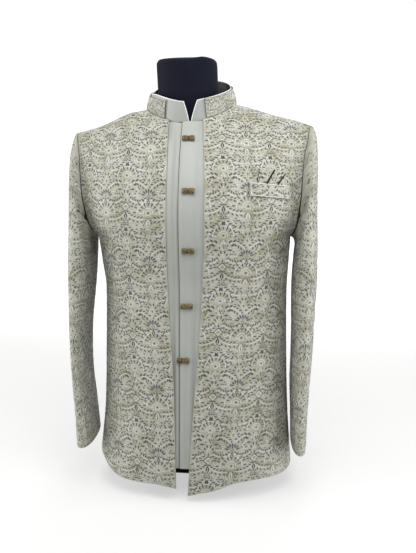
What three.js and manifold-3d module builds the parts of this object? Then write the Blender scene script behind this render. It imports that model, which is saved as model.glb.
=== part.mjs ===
// A bandhgala jacket, its fronts open over an ivory buttoned inner front, on a limbless dress form.
// Millimetres, +Z up. The wearer faces -Y and the wearer's left is +X. The origin is on the form's
// flat foot, on the floor, straight below the middle of the shoulders.
import * as THREE from "three";
import { mergeVertices } from "three/addons/utils/BufferGeometryUtils.js";
import Module from "manifold-3d";

// Cloth
const WALL = 2.4; // embroidered cloth with its backing
const IVORY_WALL = 1.6;
const GAP = 0.36; // between pieces at a seam

// Body of the jacket
const POWER = 2.3; // how square its round is
const ARMPIT_Z = 500;
const NECK_HALF = 88; // half the neckline's width, at the shoulder seams
const NECK_FRONT = 61; // the neckline's reach forward
const NECK_BACK = 62;
const NECKLINE_NEAR_Z = 715; // about where the front neckline starts
const NECK_ROUND_FRONT = 0.776;
const NECK_ROUND_BACK = 0.85;
const NECK_SLOPE = 0.257; // the shoulder line's own slope, carried on across the neck
const NECK_SOFT = 8; // how softly its two sides meet there
const SHOULDER_END = 228; // the sleeve seam's top, from the middle
const SHOULDER_LEAN = 0.037; // the sleeves rise this much for each millimetre above the armpit
const BACK_NECK_RISE = 42;
const FALL_FRONT = 254; // height over which the chest rounds up to the shoulder
const FALL_BACK = 230;
const FALL_POWER = 0.75;

// Shoulder line, from the wearer's right to the left; the form holds the left one higher
const shoulderRows = [
  { x: -245, z: 695 },
  { x: -228, z: 702 },
  { x: -200, z: 709 },
  { x: -174, z: 717 },
  { x: -150, z: 727.5 },
  { x: -125, z: 738.5 },
  { x: -105, z: 742.5 },
  { x: -88, z: 746 },
  { x: 88, z: 752.5 },
  { x: 110, z: 747.5 },
  { x: 134, z: 740.5 },
  { x: 160, z: 732.5 },
  { x: 190, z: 725 },
  { x: 210, z: 719.5 },
  { x: 228, z: 713 },
  { x: 245, z: 706 },
];

// Half width, reach forward and back, and how far the middle stands towards +X
const bodyRows = [
  { z: 0, half: 199.5, front: 132, back: 136, middle: 6 },
  { z: 40, half: 198, front: 131, back: 135, middle: 6 },
  { z: 100, half: 192, front: 129, back: 134, middle: 7 },
  { z: 158, half: 187, front: 125, back: 130, middle: 8 },
  { z: 264, half: 183, front: 119, back: 124, middle: 8 },
  { z: 404, half: 181.5, front: 114, back: 118, middle: 8 },
  { z: 480, half: 188, front: 124, back: 130, middle: 6 },
  { z: 500, half: 190, front: 126, back: 132, middle: 5 },
  { z: 520, half: 206, front: 128, back: 135, middle: 4 },
  { z: 550, half: 220, front: 130, back: 138, middle: 3 },
  { z: 580, half: 229, front: 131, back: 139, middle: 2 },
  { z: 620, half: 234, front: 131, back: 140, middle: 0.8 },
  { z: 660, half: 235, front: 131, back: 140, middle: 0 },
  { z: 700, half: 235, front: 131, back: 140, middle: 0 },
  { z: 830, half: 235, front: 131, back: 140, middle: 0 },
];

// The sleeve seam, as degrees round the body from the middle of the front or back
const armholeRows = [
  { z: ARMPIT_Z, angle: 90 },
  { z: 505, angle: 80.5 },
  { z: 520, angle: 72 },
  { z: 550, angle: 64.5 },
  { z: 600, angle: 61.5 },
  { z: 650, angle: 63 },
  { z: 680, angle: 67.5 },
  { z: 702, angle: 72.3 },
];

// Where each embroidered front ends towards the middle, from the hem up
const openingRows = [
  { z: 0, right: 16.5, left: 4 },
  { z: 30, right: 17.4, left: 5.5 },
  { z: 120, right: 19, left: 11 },
  { z: 239, right: 22.2, left: 19.5 },
  { z: 310, right: 26.5, left: 25 },
  { z: 389, right: 31.2, left: 30 },
  { z: 501, right: 32.8, left: 35.8 },
  { z: 608, right: 32.3, left: 35.5 },
  { z: 680, right: 34.5, left: 31 },
  { z: 723, right: 36.8, left: 27.4 },
  { z: 780, right: 40, left: 24 },
];

// Hem height by degrees round from the front's middle to the back's
const hemRows = [
  { angle: 0, right: 26, left: 15 },
  { angle: 8, right: 29, left: 22 },
  { angle: 16, right: 34, left: 28 },
  { angle: 22, right: 34, left: 37 },
  { angle: 30, right: 33.5, left: 41 },
  { angle: 42, right: 35, left: 42 },
  { angle: 52, right: 44.5, left: 40 },
  { angle: 62, right: 57, left: 39.5 },
  { angle: 74, right: 63, left: 41 },
  { angle: 90, right: 66, left: 45 },
  { angle: 120, right: 58, left: 43 },
  { angle: 180, right: 47, left: 47 },
];

// Sleeve sections from the shoulder to the cuff: heights and places of the outer and inner edges,
// how far the inner edge stands towards -X, how far out the right and left sleeves hang, the
// section's middle and reach front to back, and how far it has left the armhole's shape
const sleeveRows = [
  { outerZ: 694, innerZ: 497, outer: 243, inner: 200, skew: 0, middle: -1, right: -3, left: 3, depth: 70, free: 0.4 },
  { outerZ: 670, innerZ: 493, outer: 246, inner: 202.5, skew: 0, middle: -1, right: -3, left: 3, depth: 80, free: 0.65 },
  { outerZ: 634, innerZ: 487, outer: 244, inner: 202, skew: 0, middle: -1, right: -3, left: 3, depth: 87, free: 0.84 },
  { outerZ: 592, innerZ: 479, outer: 242, inner: 202, skew: 0, middle: -1, right: -3, left: 3, depth: 90, free: 0.95 },
  { outerZ: 542, innerZ: 467, outer: 242, inner: 201, skew: 1, middle: -2, right: -3, left: 3, depth: 92, free: 1 },
  { outerZ: 487, innerZ: 449, outer: 243.5, inner: 200.5, skew: 2, middle: -3, right: -2.5, left: 3, depth: 91, free: 1 },
  { outerZ: 432, innerZ: 420, outer: 244.5, inner: 200, skew: 3, middle: -5, right: -1.5, left: 2.5, depth: 89, free: 1 },
  { outerZ: 376, innerZ: 374, outer: 243, inner: 201.5, skew: 5, middle: -8, right: -0.5, left: 2.5, depth: 86, free: 1 },
  { outerZ: 320, innerZ: 320, outer: 241, inner: 205, skew: 7, middle: -12, right: 0, left: 2, depth: 83, free: 1 },
  { outerZ: 264, innerZ: 264, outer: 238, inner: 205.5, skew: 8, middle: -16, right: 0.5, left: 2, depth: 80, free: 1 },
  { outerZ: 208, innerZ: 209, outer: 234.5, inner: 203.5, skew: 7, middle: -20, right: 1, left: 2, depth: 77, free: 1 },
  { outerZ: 150, innerZ: 151, outer: 231, inner: 200, skew: 1.5, middle: -24, right: 1.5, left: 2, depth: 74, free: 1 },
  { outerZ: 87, innerZ: 89, outer: 229.5, inner: 196.5, skew: -3.5, middle: -28, right: 2, left: 2, depth: 71, free: 1 },
];
const SLEEVE_ROUND = 0.85; // how full its section is
const SLEEVE_TURN = { right: 0.06, left: 0 }; // how much a sleeve's front edge turns inwards
const UNDER_SLEEVE_STEPS = 3; // of the armhole's steps on each side of the armpit

// Stand collar
const RIM_HALF = 80.5;
const RIM_REACH = 71;
const RIM_Z = 779.5;
const RIM_TILT = 0.38; // the rim rises this much for each millimetre towards the back
const IVORY_RIM = 1.05; // the ivory collar's height as a share of the embroidered one's
const V_HALF_ANGLE = 9;
const V_MIDDLE_ANGLE = { base: 2.7, rim: 4.2 };
const V_START = 0.15; // share of the height below which the ends meet
const ROLL = 4.5; // the rim's own lean at its sides
const COLLAR_BULGE = 1.2;
const COLLAR_LIFT = 0.86; // clear of the neckline's edge
const COLLAR_COLUMNS = { outer: 34, inner: 40 };
const COLLAR_END_RIGHT = 31; // degrees round from the front's middle
const COLLAR_END_LEFT = 23;

// Ivory inner front
const IVORY_DEEP = 0.9; // how far behind the embroidered fronts' inside it lies
const IVORY_HEM_Z = 67;
const IVORY_TUCK = 26; // how far it runs on behind each embroidered front
const IVORY_ROWS = 20;
const IVORY_DROP = 0.6; // how far below the neckline it ends
const OVERLAP_X = -11; // edge of the wearer's left part, on top
const OVERLAP = 24; // how far the right part runs on under it
const STEP_WIDTH = 6; // over which the right part steps back to go under

// Knot buttons down the ivory front
const BUTTON_LENGTH = 23;
const BUTTON_RADIUS = 5.6;
const BUTTON_WAIST = 3.4;
const BUTTON_FLAT = 0.52; // thickness as a share of height
const buttonRows = [
  { x: 4, z: 684 },
  { x: 7.5, z: 588.5 },
  { x: 7, z: 481 },
  { x: 2.5, z: 378 },
  { x: -4, z: 276 },
];

// Breast welt and the folded square in it
const WELT = { inner: 116, outer: 187, topZ: 602.5, drop: 6, height: 22, thick: 2.4 };
const SQUARE_THICK = 1.6;
const squareRows = [
  { x: 121, height: 3, lift: 0.5 },
  { x: 127, height: 25, lift: 0.9 },
  { x: 139, height: 31, lift: 1.8 },
  { x: 151, height: 22, lift: 2.8 },
  { x: 154, height: 20, lift: 0.7 },
  { x: 160, height: 22, lift: 2.2 },
  { x: 167, height: 10, lift: 0.7 },
  { x: 174, height: 16, lift: 2 },
  { x: 180, height: 2, lift: 0.5 },
];

// Dress form: half width, and reach forward and back
const FORM_POWER = 2.2;
const FORM_AROUND = 36; // points round a ring
const NECK_AROUND = 28;
const FORM_SEAT = 3.55; // its shoulders lie this far below the jacket's outside
const NECK_TOP_Z = 837;
const FORM_NECK = { x: -8.5, y: -1, half: 59, reach: 55, dome: 3 };
const FOOT_MIDDLE = 29; // the foot stands this far back
const formRows = [
  { z: 0, half: 84, front: 14, back: 72 },
  { z: 30, half: 82, front: 13, back: 70 },
  { z: 62, half: 88, front: 18, back: 74 },
  { z: 80, half: 108, front: 44, back: 90 },
  { z: 96, half: 136, front: 80, back: 104 },
  { z: 118, half: 155, front: 100, back: 111 },
  { z: 180, half: 162, front: 102, back: 112 },
  { z: 300, half: 152, front: 96, back: 104 },
  { z: 404, half: 146, front: 94, back: 100 },
  { z: 500, half: 160, front: 104, back: 114 },
  { z: 580, half: 178, front: 112, back: 122 },
  { z: 640, half: 188, front: 114, back: 124 },
  { z: 690, half: 196, front: 115, back: 125 },
  { z: 770, half: 200, front: 115, back: 125 },
];

const ROWS_BELOW = 10;
const SHARES_ABOVE = [0, 0.1, 0.2, 0.3, 0.4, 0.51, 0.62, 0.73, 0.83, 0.9, 0.95, 0.98, 1];
const NECK_COLUMNS = 6;
const SHOULDER_COLUMNS = 9;

const clamp = THREE.MathUtils.clamp;
const lerp = THREE.MathUtils.lerp;
const radians = THREE.MathUtils.degToRad;
const degrees = THREE.MathUtils.radToDeg;

// A smooth curve through a table's rows, read at one column by another
function read(rows, key, at, column) {
  const last = rows.length - 1;
  const x = clamp(at, rows[0][key], rows[last][key]);
  let i = 0;
  while (i < last - 1 && x > rows[i + 1][key]) i += 1;
  const slope = (k) => {
    const a = rows[Math.max(k - 1, 0)];
    const b = rows[Math.min(k + 1, last)];
    return (b[column] - a[column]) / (b[key] - a[key]);
  };
  const h = rows[i + 1][key] - rows[i][key];
  const t = (x - rows[i][key]) / h;
  const t2 = t * t;
  const t3 = t2 * t;
  return (
    (2 * t3 - 3 * t2 + 1) * rows[i][column] +
    (t3 - 2 * t2 + t) * h * slope(i) +
    (3 * t2 - 2 * t3) * rows[i + 1][column] +
    (t3 - t2) * h * slope(i + 1)
  );
}

// Height of the shoulder line over a place; towards the back of the neck it rises more
function ridgeZ(x, back) {
  if (Math.abs(x) >= NECK_HALF) return read(shoulderRows, "x", x, "z");
  const across = (x + NECK_HALF) / (2 * NECK_HALF);
  const seam = (side) => read(shoulderRows, "x", side * NECK_HALF, "z");
  const run = Math.hypot(NECK_HALF, NECK_SOFT) - Math.hypot(x, NECK_SOFT);
  const rise = back ? BACK_NECK_RISE * (1 - (x / NECK_HALF) ** 2) ** 1.5 : 0;
  return lerp(seam(-1), seam(1), across) + run * NECK_SLOPE + rise;
}

function shareOfDepth(x, z, back) {
  const t = clamp((ridgeZ(x, back) - z) / (back ? FALL_BACK : FALL_FRONT), 0, 1);
  return (1 - (1 - t) ** 2) ** FALL_POWER;
}

// The jacket's outside at an angle round from the middle of the front or back
function bodyPoint(side, back, angle, z) {
  const s = Math.sin(radians(angle));
  const c = Math.max(Math.cos(radians(angle)), 0);
  const r = (Math.abs(s) ** POWER + c ** POWER) ** (-1 / POWER);
  const x = read(bodyRows, "z", z, "middle") + side * read(bodyRows, "z", z, "half") * r * s;
  const depth = read(bodyRows, "z", z, back ? "back" : "front") * r * c;
  const y = depth * shareOfDepth(x, z, back);
  return new THREE.Vector3(x, back ? y : -y, z);
}

function angleAt(side, x, z) {
  const local = side * (x - read(bodyRows, "z", z, "middle"));
  const u = clamp(local / read(bodyRows, "z", z, "half"), -1, 1);
  return degrees(Math.atan2(u, (1 - Math.abs(u) ** POWER) ** (1 / POWER)));
}

// Height of the neckline at x, from how far forward or back it reaches there
function necklineZ(x, back) {
  const open = Math.max(1 - (x / NECK_HALF) ** 2, 0);
  const reach = back ? NECK_BACK * open ** NECK_ROUND_BACK : NECK_FRONT * open ** NECK_ROUND_FRONT;
  const u = Math.abs(x) / bodyRows.at(-1).half;
  const depth = bodyRows.at(-1)[back ? "back" : "front"] * (1 - u ** POWER) ** (1 / POWER);
  const t = 1 - Math.sqrt(1 - (reach / depth) ** (1 / FALL_POWER));
  return ridgeZ(x, back) - t * (back ? FALL_BACK : FALL_FRONT);
}

// Boundary curves of a panel, as {angle, z} for a share 0 to 1 of their length
const sideName = (side) => (side > 0 ? "left" : "right");

function centreLine(side, back) {
  if (back) return () => 0;
  return (z) => angleAt(side, side * read(openingRows, "z", z, sideName(side)), z);
}

function centreTopZ(side, back) {
  if (back) return necklineZ(0, true);
  let z = NECKLINE_NEAR_Z;
  for (let i = 0; i < 20; i += 1) {
    z = necklineZ(side * read(openingRows, "z", z, sideName(side)), false);
  }
  return z;
}

function armholeAt(side, share) {
  const tipZ = ridgeZ(side * SHOULDER_END, false);
  const steps = armholeRows.length - 1;
  const rows = armholeRows.map((row, i) => ({
    at: i / steps,
    z: i === steps ? tipZ : row.z,
    angle: i === steps ? angleAt(side, side * SHOULDER_END, tipZ) : row.angle,
  }));
  const at = share * steps;
  const warped = (at < 1 ? at * at * 0.5 + at * 0.5 : at) / steps;
  return { angle: read(rows, "at", warped, "angle"), z: read(rows, "at", warped, "z") };
}

function topAt(side, back, share) {
  const neckShare = NECK_COLUMNS / (NECK_COLUMNS + SHOULDER_COLUMNS);
  if (share >= neckShare) {
    const x = lerp(NECK_HALF, SHOULDER_END, (share - neckShare) / (1 - neckShare));
    const z = ridgeZ(side * x, false);
    return { angle: angleAt(side, side * x, z), z };
  }
  const edgeZ = centreTopZ(side, back);
  const start = back ? 0 : read(openingRows, "z", edgeZ, sideName(side));
  const x = lerp(start, NECK_HALF, Math.sin((share / neckShare) * (Math.PI / 2)));
  const z = necklineZ(side * x, back);
  return { angle: angleAt(side, side * x, z), z };
}

// Grid of outside points of a front or back panel, row by row from the hem to the top
function panelGrid(side, back) {
  const columns = NECK_COLUMNS + SHOULDER_COLUMNS;
  const centre = centreLine(side, back);
  const hemZ = (angle) => read(hemRows, "angle", back ? 180 - angle : angle, sideName(side));
  const hemStart = { angle: centre(hemZ(2)), z: hemZ(2) };
  const rows = [];
  for (let j = 0; j <= ROWS_BELOW; j += 1) {
    const v = j / ROWS_BELOW;
    const row = [];
    for (let i = 0; i <= columns; i += 1) {
      const u = i / columns;
      const atHem = hemZ(lerp(hemStart.angle, 90, u));
      const z = lerp(atHem, ARMPIT_Z, v);
      row.push(bodyPoint(side, back, lerp(centre(z), 90, u), z));
    }
    rows.push(row);
  }
  const topZ = centreTopZ(side, back);
  const corner = { left: centre(ARMPIT_Z), right: 90 };
  for (const v of SHARES_ABOVE.slice(1)) {
    const leftZ = lerp(ARMPIT_Z, topZ, v);
    const left = { angle: centre(leftZ), z: leftZ };
    const right = armholeAt(side, v);
    const topLeft = topAt(side, back, 0);
    const topRight = topAt(side, back, 1);
    const row = [];
    for (let i = 0; i <= columns; i += 1) {
      const u = i / columns;
      const top = topAt(side, back, u);
      const bottom = lerp(corner.left, corner.right, u);
      const blend = (l, r, b, t, bl, br, tl, tr) =>
        lerp(l, r, u) + lerp(b, t, v) - lerp(lerp(bl, br, u), lerp(tl, tr, u), v);
      const angle = blend(
        left.angle, right.angle, bottom, top.angle,
        corner.left, corner.right, topLeft.angle, topRight.angle,
      );
      const z = blend(
        left.z, right.z, ARMPIT_Z, top.z,
        ARMPIT_Z, ARMPIT_Z, topLeft.z, topRight.z,
      );
      row.push(bodyPoint(side, back, angle, z));
    }
    rows.push(row);
  }
  return rows;
}

// Normals of a set of grids that meet at their seams, so that walls run on across them
function sharedNormals(grids, outward) {
  const key = (p) => [p.x, p.y, p.z].map((n) => Math.round(n * 50)).join();
  const sums = new Map();
  const add = (p, n) => {
    if (!sums.has(key(p))) sums.set(key(p), new THREE.Vector3());
    sums.get(key(p)).add(n);
  };
  for (const grid of grids) {
    for (let j = 0; j + 1 < grid.length; j += 1) {
      for (let i = 0; i + 1 < grid[j].length; i += 1) {
        const corners = [grid[j][i], grid[j][i + 1], grid[j + 1][i + 1], grid[j + 1][i]];
        const across = corners[2].clone().sub(corners[0]);
        const n = across.cross(corners[3].clone().sub(corners[1]));
        const middle = corners[0].clone().add(corners[2]).multiplyScalar(0.5);
        if (n.dot(outward(middle)) < 0) n.negate();
        corners.forEach((p) => add(p, n));
      }
    }
  }
  return grids.map((grid) =>
    grid.map((row) => row.map((p) => sums.get(key(p)).clone().normalize())),
  );
}

const offsetGrid = (grid, normals, distance) =>
  grid.map((row, j) =>
    row.map((p, i) => {
      const d = typeof distance === "function" ? distance(p, i, j) : distance;
      return p.clone().addScaledVector(normals[j][i], d);
    }),
  );

// Draws points of a grid in towards others; each pull is [row, column, row towards, column towards]
function drawIn(grid, pulls, distance) {
  const moved = grid.map((row) => row.map((p) => p.clone()));
  for (const [j, i, toJ, toI] of pulls) {
    moved[j][i].add(grid[toJ][toI].clone().sub(grid[j][i]).setLength(distance));
  }
  return moved;
}
const firstColumn = (grid) => grid.map((row, j) => [j, 0, j, 1]);
const lastColumn = (grid) => grid.map((row, j) => [j, row.length - 1, j, row.length - 2]);
const lastRow = (grid) => grid[0].map((p, i) => [grid.length - 1, i, grid.length - 2, i]);

// Closed wall between two grids of the same size
function wallBetween(outer, inner) {
  const rows = outer.length;
  const columns = outer[0].length;
  const points = [...outer.flat(), ...inner.flat()];
  const id = (layer, j, i) => layer * rows * columns + j * columns + i;
  const faces = [];
  const quad = (a, b, c, d) => faces.push(a, b, c, a, c, d);
  for (let j = 0; j + 1 < rows; j += 1) {
    for (let i = 0; i + 1 < columns; i += 1) {
      quad(id(0, j, i), id(0, j, i + 1), id(0, j + 1, i + 1), id(0, j + 1, i));
      quad(id(1, j, i), id(1, j + 1, i), id(1, j + 1, i + 1), id(1, j, i + 1));
    }
  }
  for (let i = 0; i + 1 < columns; i += 1) {
    quad(id(0, 0, i), id(1, 0, i), id(1, 0, i + 1), id(0, 0, i + 1));
    quad(id(0, rows - 1, i), id(0, rows - 1, i + 1), id(1, rows - 1, i + 1), id(1, rows - 1, i));
  }
  for (let j = 0; j + 1 < rows; j += 1) {
    quad(id(0, j, 0), id(0, j + 1, 0), id(1, j + 1, 0), id(1, j, 0));
    quad(
      id(0, j, columns - 1), id(1, j, columns - 1),
      id(1, j + 1, columns - 1), id(0, j + 1, columns - 1),
    );
  }
  return closedGeometry(points, faces);
}

// Indexed geometry whose faces are turned to point out
function closedGeometry(points, faces) {
  let volume = 0;
  for (let k = 0; k < faces.length; k += 3) {
    const [a, b, c] = [points[faces[k]], points[faces[k + 1]], points[faces[k + 2]]];
    volume += a.dot(b.clone().cross(c));
  }
  if (volume < 0) {
    for (let k = 0; k < faces.length; k += 3) {
      [faces[k + 1], faces[k + 2]] = [faces[k + 2], faces[k + 1]];
    }
  }
  const geometry = new THREE.BufferGeometry().setFromPoints(points);
  geometry.setIndex(faces);
  geometry.computeVertexNormals();
  return geometry;
}

// Solid through closed rings of points, capped by a point at each end
function solidThroughRings(rings, bottom, top) {
  const around = rings[0].length;
  const points = [...rings.flat(), bottom, top];
  const faces = [];
  for (let k = 0; k + 1 < rings.length; k += 1) {
    for (let i = 0; i < around; i += 1) {
      const a = k * around + i;
      const b = k * around + ((i + 1) % around);
      faces.push(a, b, b + around, a, b + around, a + around);
    }
  }
  const bottomId = rings.length * around;
  const lastRing = (rings.length - 1) * around;
  for (let i = 0; i < around; i += 1) {
    const next = (i + 1) % around;
    faces.push(bottomId, next, i, bottomId + 1, lastRing + i, lastRing + next);
  }
  return closedGeometry(points, faces);
}

const colours = {
  embroidered: { color: 0xbdb9a5, roughness: 0.72, metalness: 0 },
  ivory: { color: 0xd6d8d0, roughness: 0.45, metalness: 0 },
  gold: { color: 0x8a7345, roughness: 0.38, metalness: 0.9 },
  navy: { color: 0x1b202c, roughness: 0.75, metalness: 0 },
};
const jacket = new THREE.Group();
function addMesh(name, geometry, look) {
  const mesh = new THREE.Mesh(geometry, new THREE.MeshStandardMaterial(colours[look]));
  mesh.name = name;
  jacket.add(mesh);
}

// Fronts and backs
const SIDES = [-1, 1];
const panels = SIDES.flatMap((side) => [
  { name: "front_" + sideName(side), side, back: false },
  { name: "back_" + sideName(side), side, back: true },
]);
panels.forEach((panel) => {
  panel.grid = panelGrid(panel.side, panel.back);
});
const fromAxis = (p) => new THREE.Vector3(p.x, p.y, p.z > 640 ? p.z - 560 : 0);
sharedNormals(panels.map((panel) => panel.grid), fromAxis).forEach((normals, k) => {
  panels[k].normals = normals;
});
for (const { name, back, grid, normals } of panels) {
  // the side seam runs only below the armpit, the shoulder seam only outside the neckline
  const sideSeam = lastColumn(grid).slice(0, ROWS_BELOW + 1);
  const shoulderSeam = lastRow(grid).slice(NECK_COLUMNS);
  const backSeam = back ? firstColumn(grid) : [];
  const outer = drawIn(grid, [...sideSeam, ...shoulderSeam, ...backSeam], GAP / 2);
  addMesh(name, wallBetween(outer, offsetGrid(outer, normals, -WALL)), "embroidered");
}
const panelOf = (side, back) => panels.find((p) => p.side === side && p.back === back);

// Sleeves, each of a top and an under piece
function armholeLoop(side) {
  const front = panelOf(side, false);
  const back = panelOf(side, true);
  const last = front.grid[0].length - 1;
  const loop = [];
  const count = SHARES_ABOVE.length - 1;
  for (let k = 0; k <= count; k += 1) {
    loop.push({ row: ROWS_BELOW + k, panel: front, turn: 180 * (1 - SHARES_ABOVE[k]) });
  }
  for (let k = count - 1; k >= 1; k -= 1) {
    loop.push({ row: ROWS_BELOW + k, panel: back, turn: -180 * (1 - SHARES_ABOVE[k]) });
  }
  return loop.map(({ row, panel, turn }) => ({
    turn,
    point: panel.grid[row][last],
    normal: panel.normals[row][last],
    inward: panel.grid[row][last - 1].clone().sub(panel.grid[row][last]).normalize(),
  }));
}

function sleeveRings(side) {
  const loop = armholeLoop(side);
  const first = loop.map(({ point, normal, inward }) => {
    const away = normal.clone().sub(inward).normalize();
    return point.clone().addScaledVector(away, 2 * GAP);
  });
  const rings = [first];
  for (const row of sleeveRows) {
    const inner = row.inner - side * row.skew;
    const middleX = (row.outer + inner) / 2;
    const thick = (row.outer - inner) / 2;
    rings.push(
      loop.map(({ turn }, i) => {
        const c = Math.cos(radians(turn));
        const s = Math.sin(radians(turn));
        const z = lerp(row.innerZ, row.outerZ, (1 + c) / 2);
        const turned = side * (SLEEVE_TURN[sideName(side)] * -row.depth * s);
        const free = new THREE.Vector3(
          turned + side * (row[sideName(side)] + middleX + thick * Math.sign(c) * Math.abs(c) ** SLEEVE_ROUND),
          row.middle - row.depth * s,
          z + side * SHOULDER_LEAN * Math.max(z - ARMPIT_Z, 0),
        );
        return first[i].clone().lerp(free, row.free);
      }),
    );
  }
  return rings;
}

const armholeCentre = (ring) =>
  ring.reduce((sum, p) => sum.add(p), new THREE.Vector3()).divideScalar(ring.length);

for (const side of SIDES) {
  const rings = sleeveRings(side);
  const closed = rings.map((ring) => [...ring, ring[0]]);
  const centres = rings.map(armholeCentre);
  const [normals] = sharedNormals([closed], (p) => {
    const nearest = centres.reduce((a, b) => (a.distanceTo(p) < b.distanceTo(p) ? a : b));
    return p.clone().sub(nearest);
  });
  const seamInward = closed[0].map((p) => centres[0].clone().sub(p).setX(0).normalize());
  const inner = offsetGrid(closed, normals, -WALL);
  inner[0] = closed[0].map((p, i) => p.clone().addScaledVector(seamInward[i], WALL));
  const count = rings[0].length;
  const ordered = (from, to) => {
    const columns = [];
    for (let i = from; i <= to; i += 1) columns.push((i + count) % count);
    return columns;
  };
  const pieces = [
    { name: "under", columns: ordered(-UNDER_SLEEVE_STEPS, UNDER_SLEEVE_STEPS) },
    { name: "top", columns: ordered(UNDER_SLEEVE_STEPS, count - UNDER_SLEEVE_STEPS) },
  ];
  for (const piece of pieces) {
    const pick = (grid) => {
      const part = grid.map((row) => piece.columns.map((i) => row[i]));
      return drawIn(part, [...firstColumn(part), ...lastColumn(part)], 0.75 * GAP);
    };
    const name = "sleeve_" + sideName(side) + "_" + piece.name;
    addMesh(name, wallBetween(pick(closed), pick(inner)), "embroidered");
  }
}

// Collar: angles run from the front's middle, positive towards the wearer's left
function collarBase(angle) {
  const a = ((angle + 540) % 360) - 180;
  const back = Math.abs(a) > 90;
  const x = NECK_HALF * Math.sin(radians(a)) * 0.9999;
  const z = necklineZ(x, back);
  return bodyPoint(1, back, angleAt(1, x, z), z);
}

function collarPoint(angle, share) {
  const a = radians(angle);
  const base = collarBase(angle);
  const y = -RIM_REACH * Math.cos(a);
  const x = RIM_HALF * Math.sin(a);
  const lean = (ROLL * x) / RIM_HALF;
  const rim = new THREE.Vector3(x, y + 1, RIM_Z + RIM_TILT * y + lean);
  const forward = new THREE.Vector3(Math.sin(a), -Math.cos(a), 0);
  const lifted = base.add(new THREE.Vector3(0, 0, COLLAR_LIFT)).addScaledVector(forward, GAP / 2);
  const bulge = COLLAR_BULGE * Math.sin(Math.PI * clamp(share, 0, 1));
  return lifted.lerp(rim, share).addScaledVector(forward, bulge);
}

const collarOut = (p) => new THREE.Vector3(p.x, p.y, 0);
function collarGrid(startOf, endOf, columns, shares) {
  return shares.map((share) => {
    const row = [];
    for (let i = 0; i <= columns; i += 1) {
      row.push(collarPoint(lerp(startOf(share), endOf(share), i / columns), share));
    }
    return row;
  });
}

const collarShares = (low, high) => [low, V_START, 0.55, high];
{
  const grid = collarGrid(
    () => COLLAR_END_LEFT, () => 360 - COLLAR_END_RIGHT, COLLAR_COLUMNS.outer, collarShares(0, 1),
  );
  const [normals] = sharedNormals([grid], collarOut);
  addMesh("collar", wallBetween(grid, offsetGrid(grid, normals, -WALL)), "embroidered");

  const vEdge = (sign) => (share) =>
    lerp(V_MIDDLE_ANGLE.base, V_MIDDLE_ANGLE.rim, share) +
    sign * (0.3 + V_HALF_ANGLE * Math.max((share - V_START) / (1 - V_START), 0));
  const right = vEdge(-1);
  const inside = collarGrid(
    vEdge(1), (share) => 360 + right(share), COLLAR_COLUMNS.inner, collarShares(-0.03, IVORY_RIM),
  );
  const [insideNormals] = sharedNormals([inside], collarOut);
  const outer = offsetGrid(inside, insideNormals, -WALL - IVORY_DEEP);
  const inner = offsetGrid(inside, insideNormals, -WALL - IVORY_DEEP - IVORY_WALL);
  addMesh("collar_inner", wallBetween(outer, inner), "ivory");
}

// Ivory inner front, right part under left
function ivoryGrid(fromX, toX, columns) {
  const grid = [];
  for (let j = 0; j <= IVORY_ROWS; j += 1) {
    const row = [];
    for (let i = 0; i <= columns; i += 1) {
      const xAt = (height) => lerp(fromX(height), toX(height), i / columns);
      const topZ = necklineZ(xAt(NECKLINE_NEAR_Z), false) - IVORY_DROP;
      const z = lerp(IVORY_HEM_Z, topZ, j / IVORY_ROWS);
      const x = xAt(z);
      row.push(bodyPoint(1, false, angleAt(1, x, z), z));
    }
    grid.push(row);
  }
  return grid;
}
{
  const opening = (side) => (z) => side * read(openingRows, "z", z, sideName(side));
  const left = ivoryGrid(() => OVERLAP_X, (z) => opening(1)(z) + IVORY_TUCK, 7);
  const right = ivoryGrid((z) => opening(-1)(z) - IVORY_TUCK, () => OVERLAP_X + OVERLAP, 8);
  const forward = () => new THREE.Vector3(0, -1, 0.2);
  const [leftNormals] = sharedNormals([left], forward);
  const [rightNormals] = sharedNormals([right], forward);
  const top = -WALL - IVORY_DEEP;
  const under = top - IVORY_WALL - GAP;
  const depth = (p) => lerp(top, under, clamp((p.x - OVERLAP_X) / STEP_WIDTH + 1.5, 0, 1));
  const made = (grid, normals, from, thick) =>
    wallBetween(offsetGrid(grid, normals, from), offsetGrid(grid, normals, thick));
  addMesh("inner_front_left", made(left, leftNormals, top, top - IVORY_WALL), "ivory");
  addMesh(
    "inner_front_right",
    made(right, rightNormals, depth, (p) => depth(p) - IVORY_WALL),
    "ivory",
  );
}

// Outside direction of the jacket's front at a place
function frontNormal(x, z) {
  const at = (px, pz) => bodyPoint(1, false, angleAt(1, px, pz), pz);
  const across = at(x + 4, z).sub(at(x - 4, z));
  const up = at(x, z + 4).sub(at(x, z - 4));
  return across.cross(up).normalize();
}
const frontPoint = (x, z, out) =>
  bodyPoint(1, false, angleAt(1, x, z), z).addScaledVector(frontNormal(x, z), out);

// A place on the flat facets of the ivory front, moved out
function ivoryPoint(x, z, out) {
  const step = (necklineZ(x, false) - IVORY_DROP - IVORY_HEM_Z) / IVORY_ROWS;
  const row = Math.floor((z - IVORY_HEM_Z) / step);
  const [low, high] = [row, row + 1].map((j) => frontPoint(x, IVORY_HEM_Z + j * step, out));
  return low.lerp(high, (z - low.z) / (high.z - low.z));
}

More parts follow.
